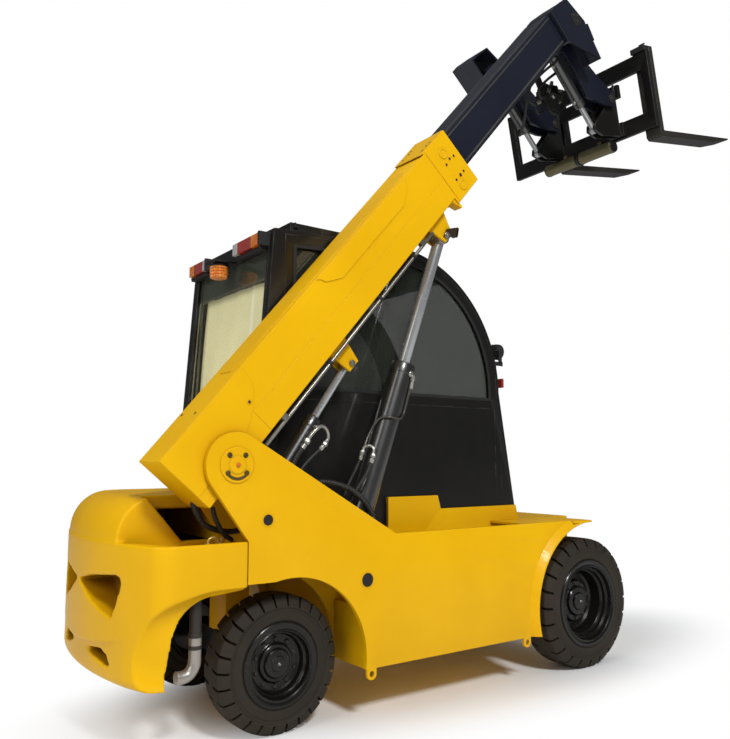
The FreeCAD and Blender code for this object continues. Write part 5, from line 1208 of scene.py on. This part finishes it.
# ---- Tilt cylinders and the hoses behind the head, which drop from the inner boom in loose
# loops to the tilt ports and the side shift.
dressed("tilt_barrels", cylinder_black, 0.001)
dressed("tilt_rods", chrome, 0.001)
tilt_way = Vector((0.716262, 0, -0.697832))
collars = bmesh.new()
ports = bmesh.new()
for y in arm_rows:
    foot = Vector((tilt_eye.x, y, tilt_eye.z))
    lathe(collars, [(0.033, -0.046), (0.0375, -0.042), (0.0375, -0.004), (0.035, 0.001),
                    (0.026, 0.001), (0.024, 0.005), (0.0185, 0.006)],
          facing(foot + tilt_way * 0.4, tilt_way), 40)
    for reach in (0.075, 0.35):
        at = foot + tilt_way * reach + Vector((-0.0245, 0, -0.0245))
        lathe(ports, [(0.012, -0.006), (0.012, 0.012), (0.009, 0.015)],
              facing(at, (-0.7, 0, -0.7)), 6)
placed(collars, "tilt_barrel_glands", "tilt_cylinders", cylinder_black)
placed(ports, "tilt_barrel_ports", "tilt_cylinders", silver)
for number, points in enumerate((
        [(0.7, -0.336, 3.7), (0.64, -0.295, 3.64), (0.59, -0.27, 3.57),
         (0.622, -0.262, 3.53), (0.68, -0.258, 3.56), (0.73, -0.25, 3.64),
         (0.79, -0.19, 3.69)],
        [(0.6, -0.43, 3.71), (0.6, -0.3, 3.68), (0.56, -0.225, 3.6),
         (0.545, -0.215, 3.54), (0.6, -0.21, 3.5), (0.68, -0.205, 3.54),
         (0.745, -0.2, 3.64)],
        [(0.79, -0.185, 3.69), (0.86, -0.215, 3.64), (0.88, -0.215, 3.56),
         (0.85, -0.205, 3.5), (0.795, -0.19, 3.52), (0.775, -0.185, 3.61)],
        [(0.74, -0.15, 3.64), (0.705, -0.14, 3.58), (0.735, -0.135, 3.505),
         (0.785, -0.135, 3.54), (0.785, -0.135, 3.612)])):
    hose("head_hose_%d" % (number + 1), "extension", points, 0.0085, 0.001)
far_hose = hose("head_hose_5", "extension",
                [(0.433, -0.4, 3.65), (0.44, -0.37, 3.58), (0.425, -0.335, 3.49),
                 (0.432, -0.3, 3.4), (0.48, -0.24, 3.345), (0.56, -0.15, 3.345),
                 (0.68, -0.02, 3.375), (0.77, 0.075, 3.44), (0.802, 0.095, 3.492)],
                0.0085, 0.001)
far_hose.parent = None
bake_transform(far_hose)
valves = bmesh.new()
for spot, end in (((0.753, -0.23, 3.65), (0.775, -0.23, 3.7)),
                  ((0.815, -0.225, 3.683), (0.835, -0.225, 3.64)),
                  ((0.791, -0.23, 3.59), (0.76, -0.23, 3.63)),
                  ((0.7, -0.258, 3.59), (0.722, -0.252, 3.625)),
                  ((0.64, -0.215, 3.516), (0.672, -0.212, 3.536)),
                  ((0.873, -0.215, 3.585), (0.882, -0.215, 3.63))):
    crimped(valves, spot, end, 0.0095)
placed(valves, "head_hose_fittings", "extension", silver)
manifold = bmesh.new()
block(manifold, (0.735, -0.262, 3.6), (0.8, -0.12, 3.66))
block(manifold, (0.755, -0.19, 3.655), (0.83, -0.12, 3.705))
slab(manifold, [(0.64, 3.84), (0.65, 3.78), (0.74, 3.63), (0.8, 3.66), (0.7, 3.81)],
     0.15, 0.165, across)
placed(manifold, "head_valve_block", "extension", cab_black, 0.004)

# ---- Tilting frame, side shift and fork carriage: black plates and bars, two plated drums
# on a common joint below, and forged forks hooked on and locked by spring pins.
for node in ("tilt_frame", "fork_carriage"):
    dressed(node, cab_black, 0.003)
olive_steel = sprayed("olive_plated_drum", (0.2, 0.175, 0.085), (0.12, 0.105, 0.05),
                      (0.42, 0.4, 0.28), 0.36, 0.1, metal=0.55, dust_and_shade=0.5)
tilt_turn = math.radians(10.5)
carriage_place = Matrix(((math.cos(tilt_turn), 0, -math.sin(tilt_turn), carriage_pin.x),
                         (0, 1, 0, 0),
                         (math.sin(tilt_turn), 0, math.cos(tilt_turn), carriage_pin.z),
                         (0, 0, 0, 1)))
drum_axis = carriage_place @ Matrix.Translation((0.03, 0, -0.302)) @ Matrix.Rotation(
    math.radians(-90), 4, "X")
drums = bmesh.new()
for start in (-0.39, -0.09):
    lathe(drums, [(0.038, start + 0.004), (0.0435, start + 0.01), (0.0435, start + 0.03),
                  (0.0415, start + 0.033), (0.0415, start + 0.247), (0.0435, start + 0.25),
                  (0.0435, start + 0.27), (0.038, start + 0.276)], drum_axis, 48)
    block(drums, (0.024, start + 0.09, -0.262), (0.11, start + 0.12, -0.24), carriage_place)
barrel = placed(drums, "side_shift_drums", "tilting_frame", olive_steel)
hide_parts("side_shift_cylinder")
joint = bmesh.new()
lathe(joint, [(0.04, -0.116), (0.049, -0.112), (0.049, -0.088), (0.04, -0.084)], drum_axis, 40)
for low, high in ((-0.394, -0.384), (0.184, 0.192)):
    lathe(joint, [(0.034, low), (0.041, low + 0.002), (0.041, high - 0.002), (0.034, high)],
          drum_axis, 40)
for y in (-0.3, 0.08):
    block(joint, (0.03, y, -0.3), (0.11, y + 0.03, -0.24), carriage_place)
placed(joint, "side_shift_joint", "tilting_frame", cab_black, 0.001)
fork_steel = sprayed("worn_fork_steel", (0.045, 0.04, 0.031), (0.026, 0.023, 0.018),
                     (0.17, 0.16, 0.13), 0.46, 0.0, metal=0.35, wear_and_highlight=0.9, dust_and_shade=0.4)
for node in ("fork_right", "fork_left"):
    dressed(node, fork_steel, 0.004)
for side, body, centre in (("right", "right_fork", -0.623), ("left", "left_fork", 0.116)):
    lock = bmesh.new()
    block(lock, (0.1, centre - 0.05, 0.258), (0.195, centre + 0.05, 0.292), carriage_place)
    at = carriage_place @ Matrix.Translation((0.17, centre, 0.29))
    lathe(lock, [(0.013, -0.004), (0.013, 0.01), (0.008, 0.014), (0.008, 0.03), (0.0055, 0.034)],
          at, 20)
    swept(lock, [carriage_place @ Vector((0.17, centre + y, 0.322)) for y in (-0.022, 0, 0.022)],
          0.005, 12)
    placed(lock, "%s_fork_lock_pin" % side, body, rubber_black, 0.0015)
hooks = bmesh.new()
for y in (-0.678, 0.548):
    for z in (0.2, -0.19):
        bolt(hooks, carriage_place @ Matrix.Translation((0.132, y + 0.02, z))
             @ outward_turn, 0.01)
placed(hooks, "carriage_end_bolts", "carriage", nut_steel, 0.0005)
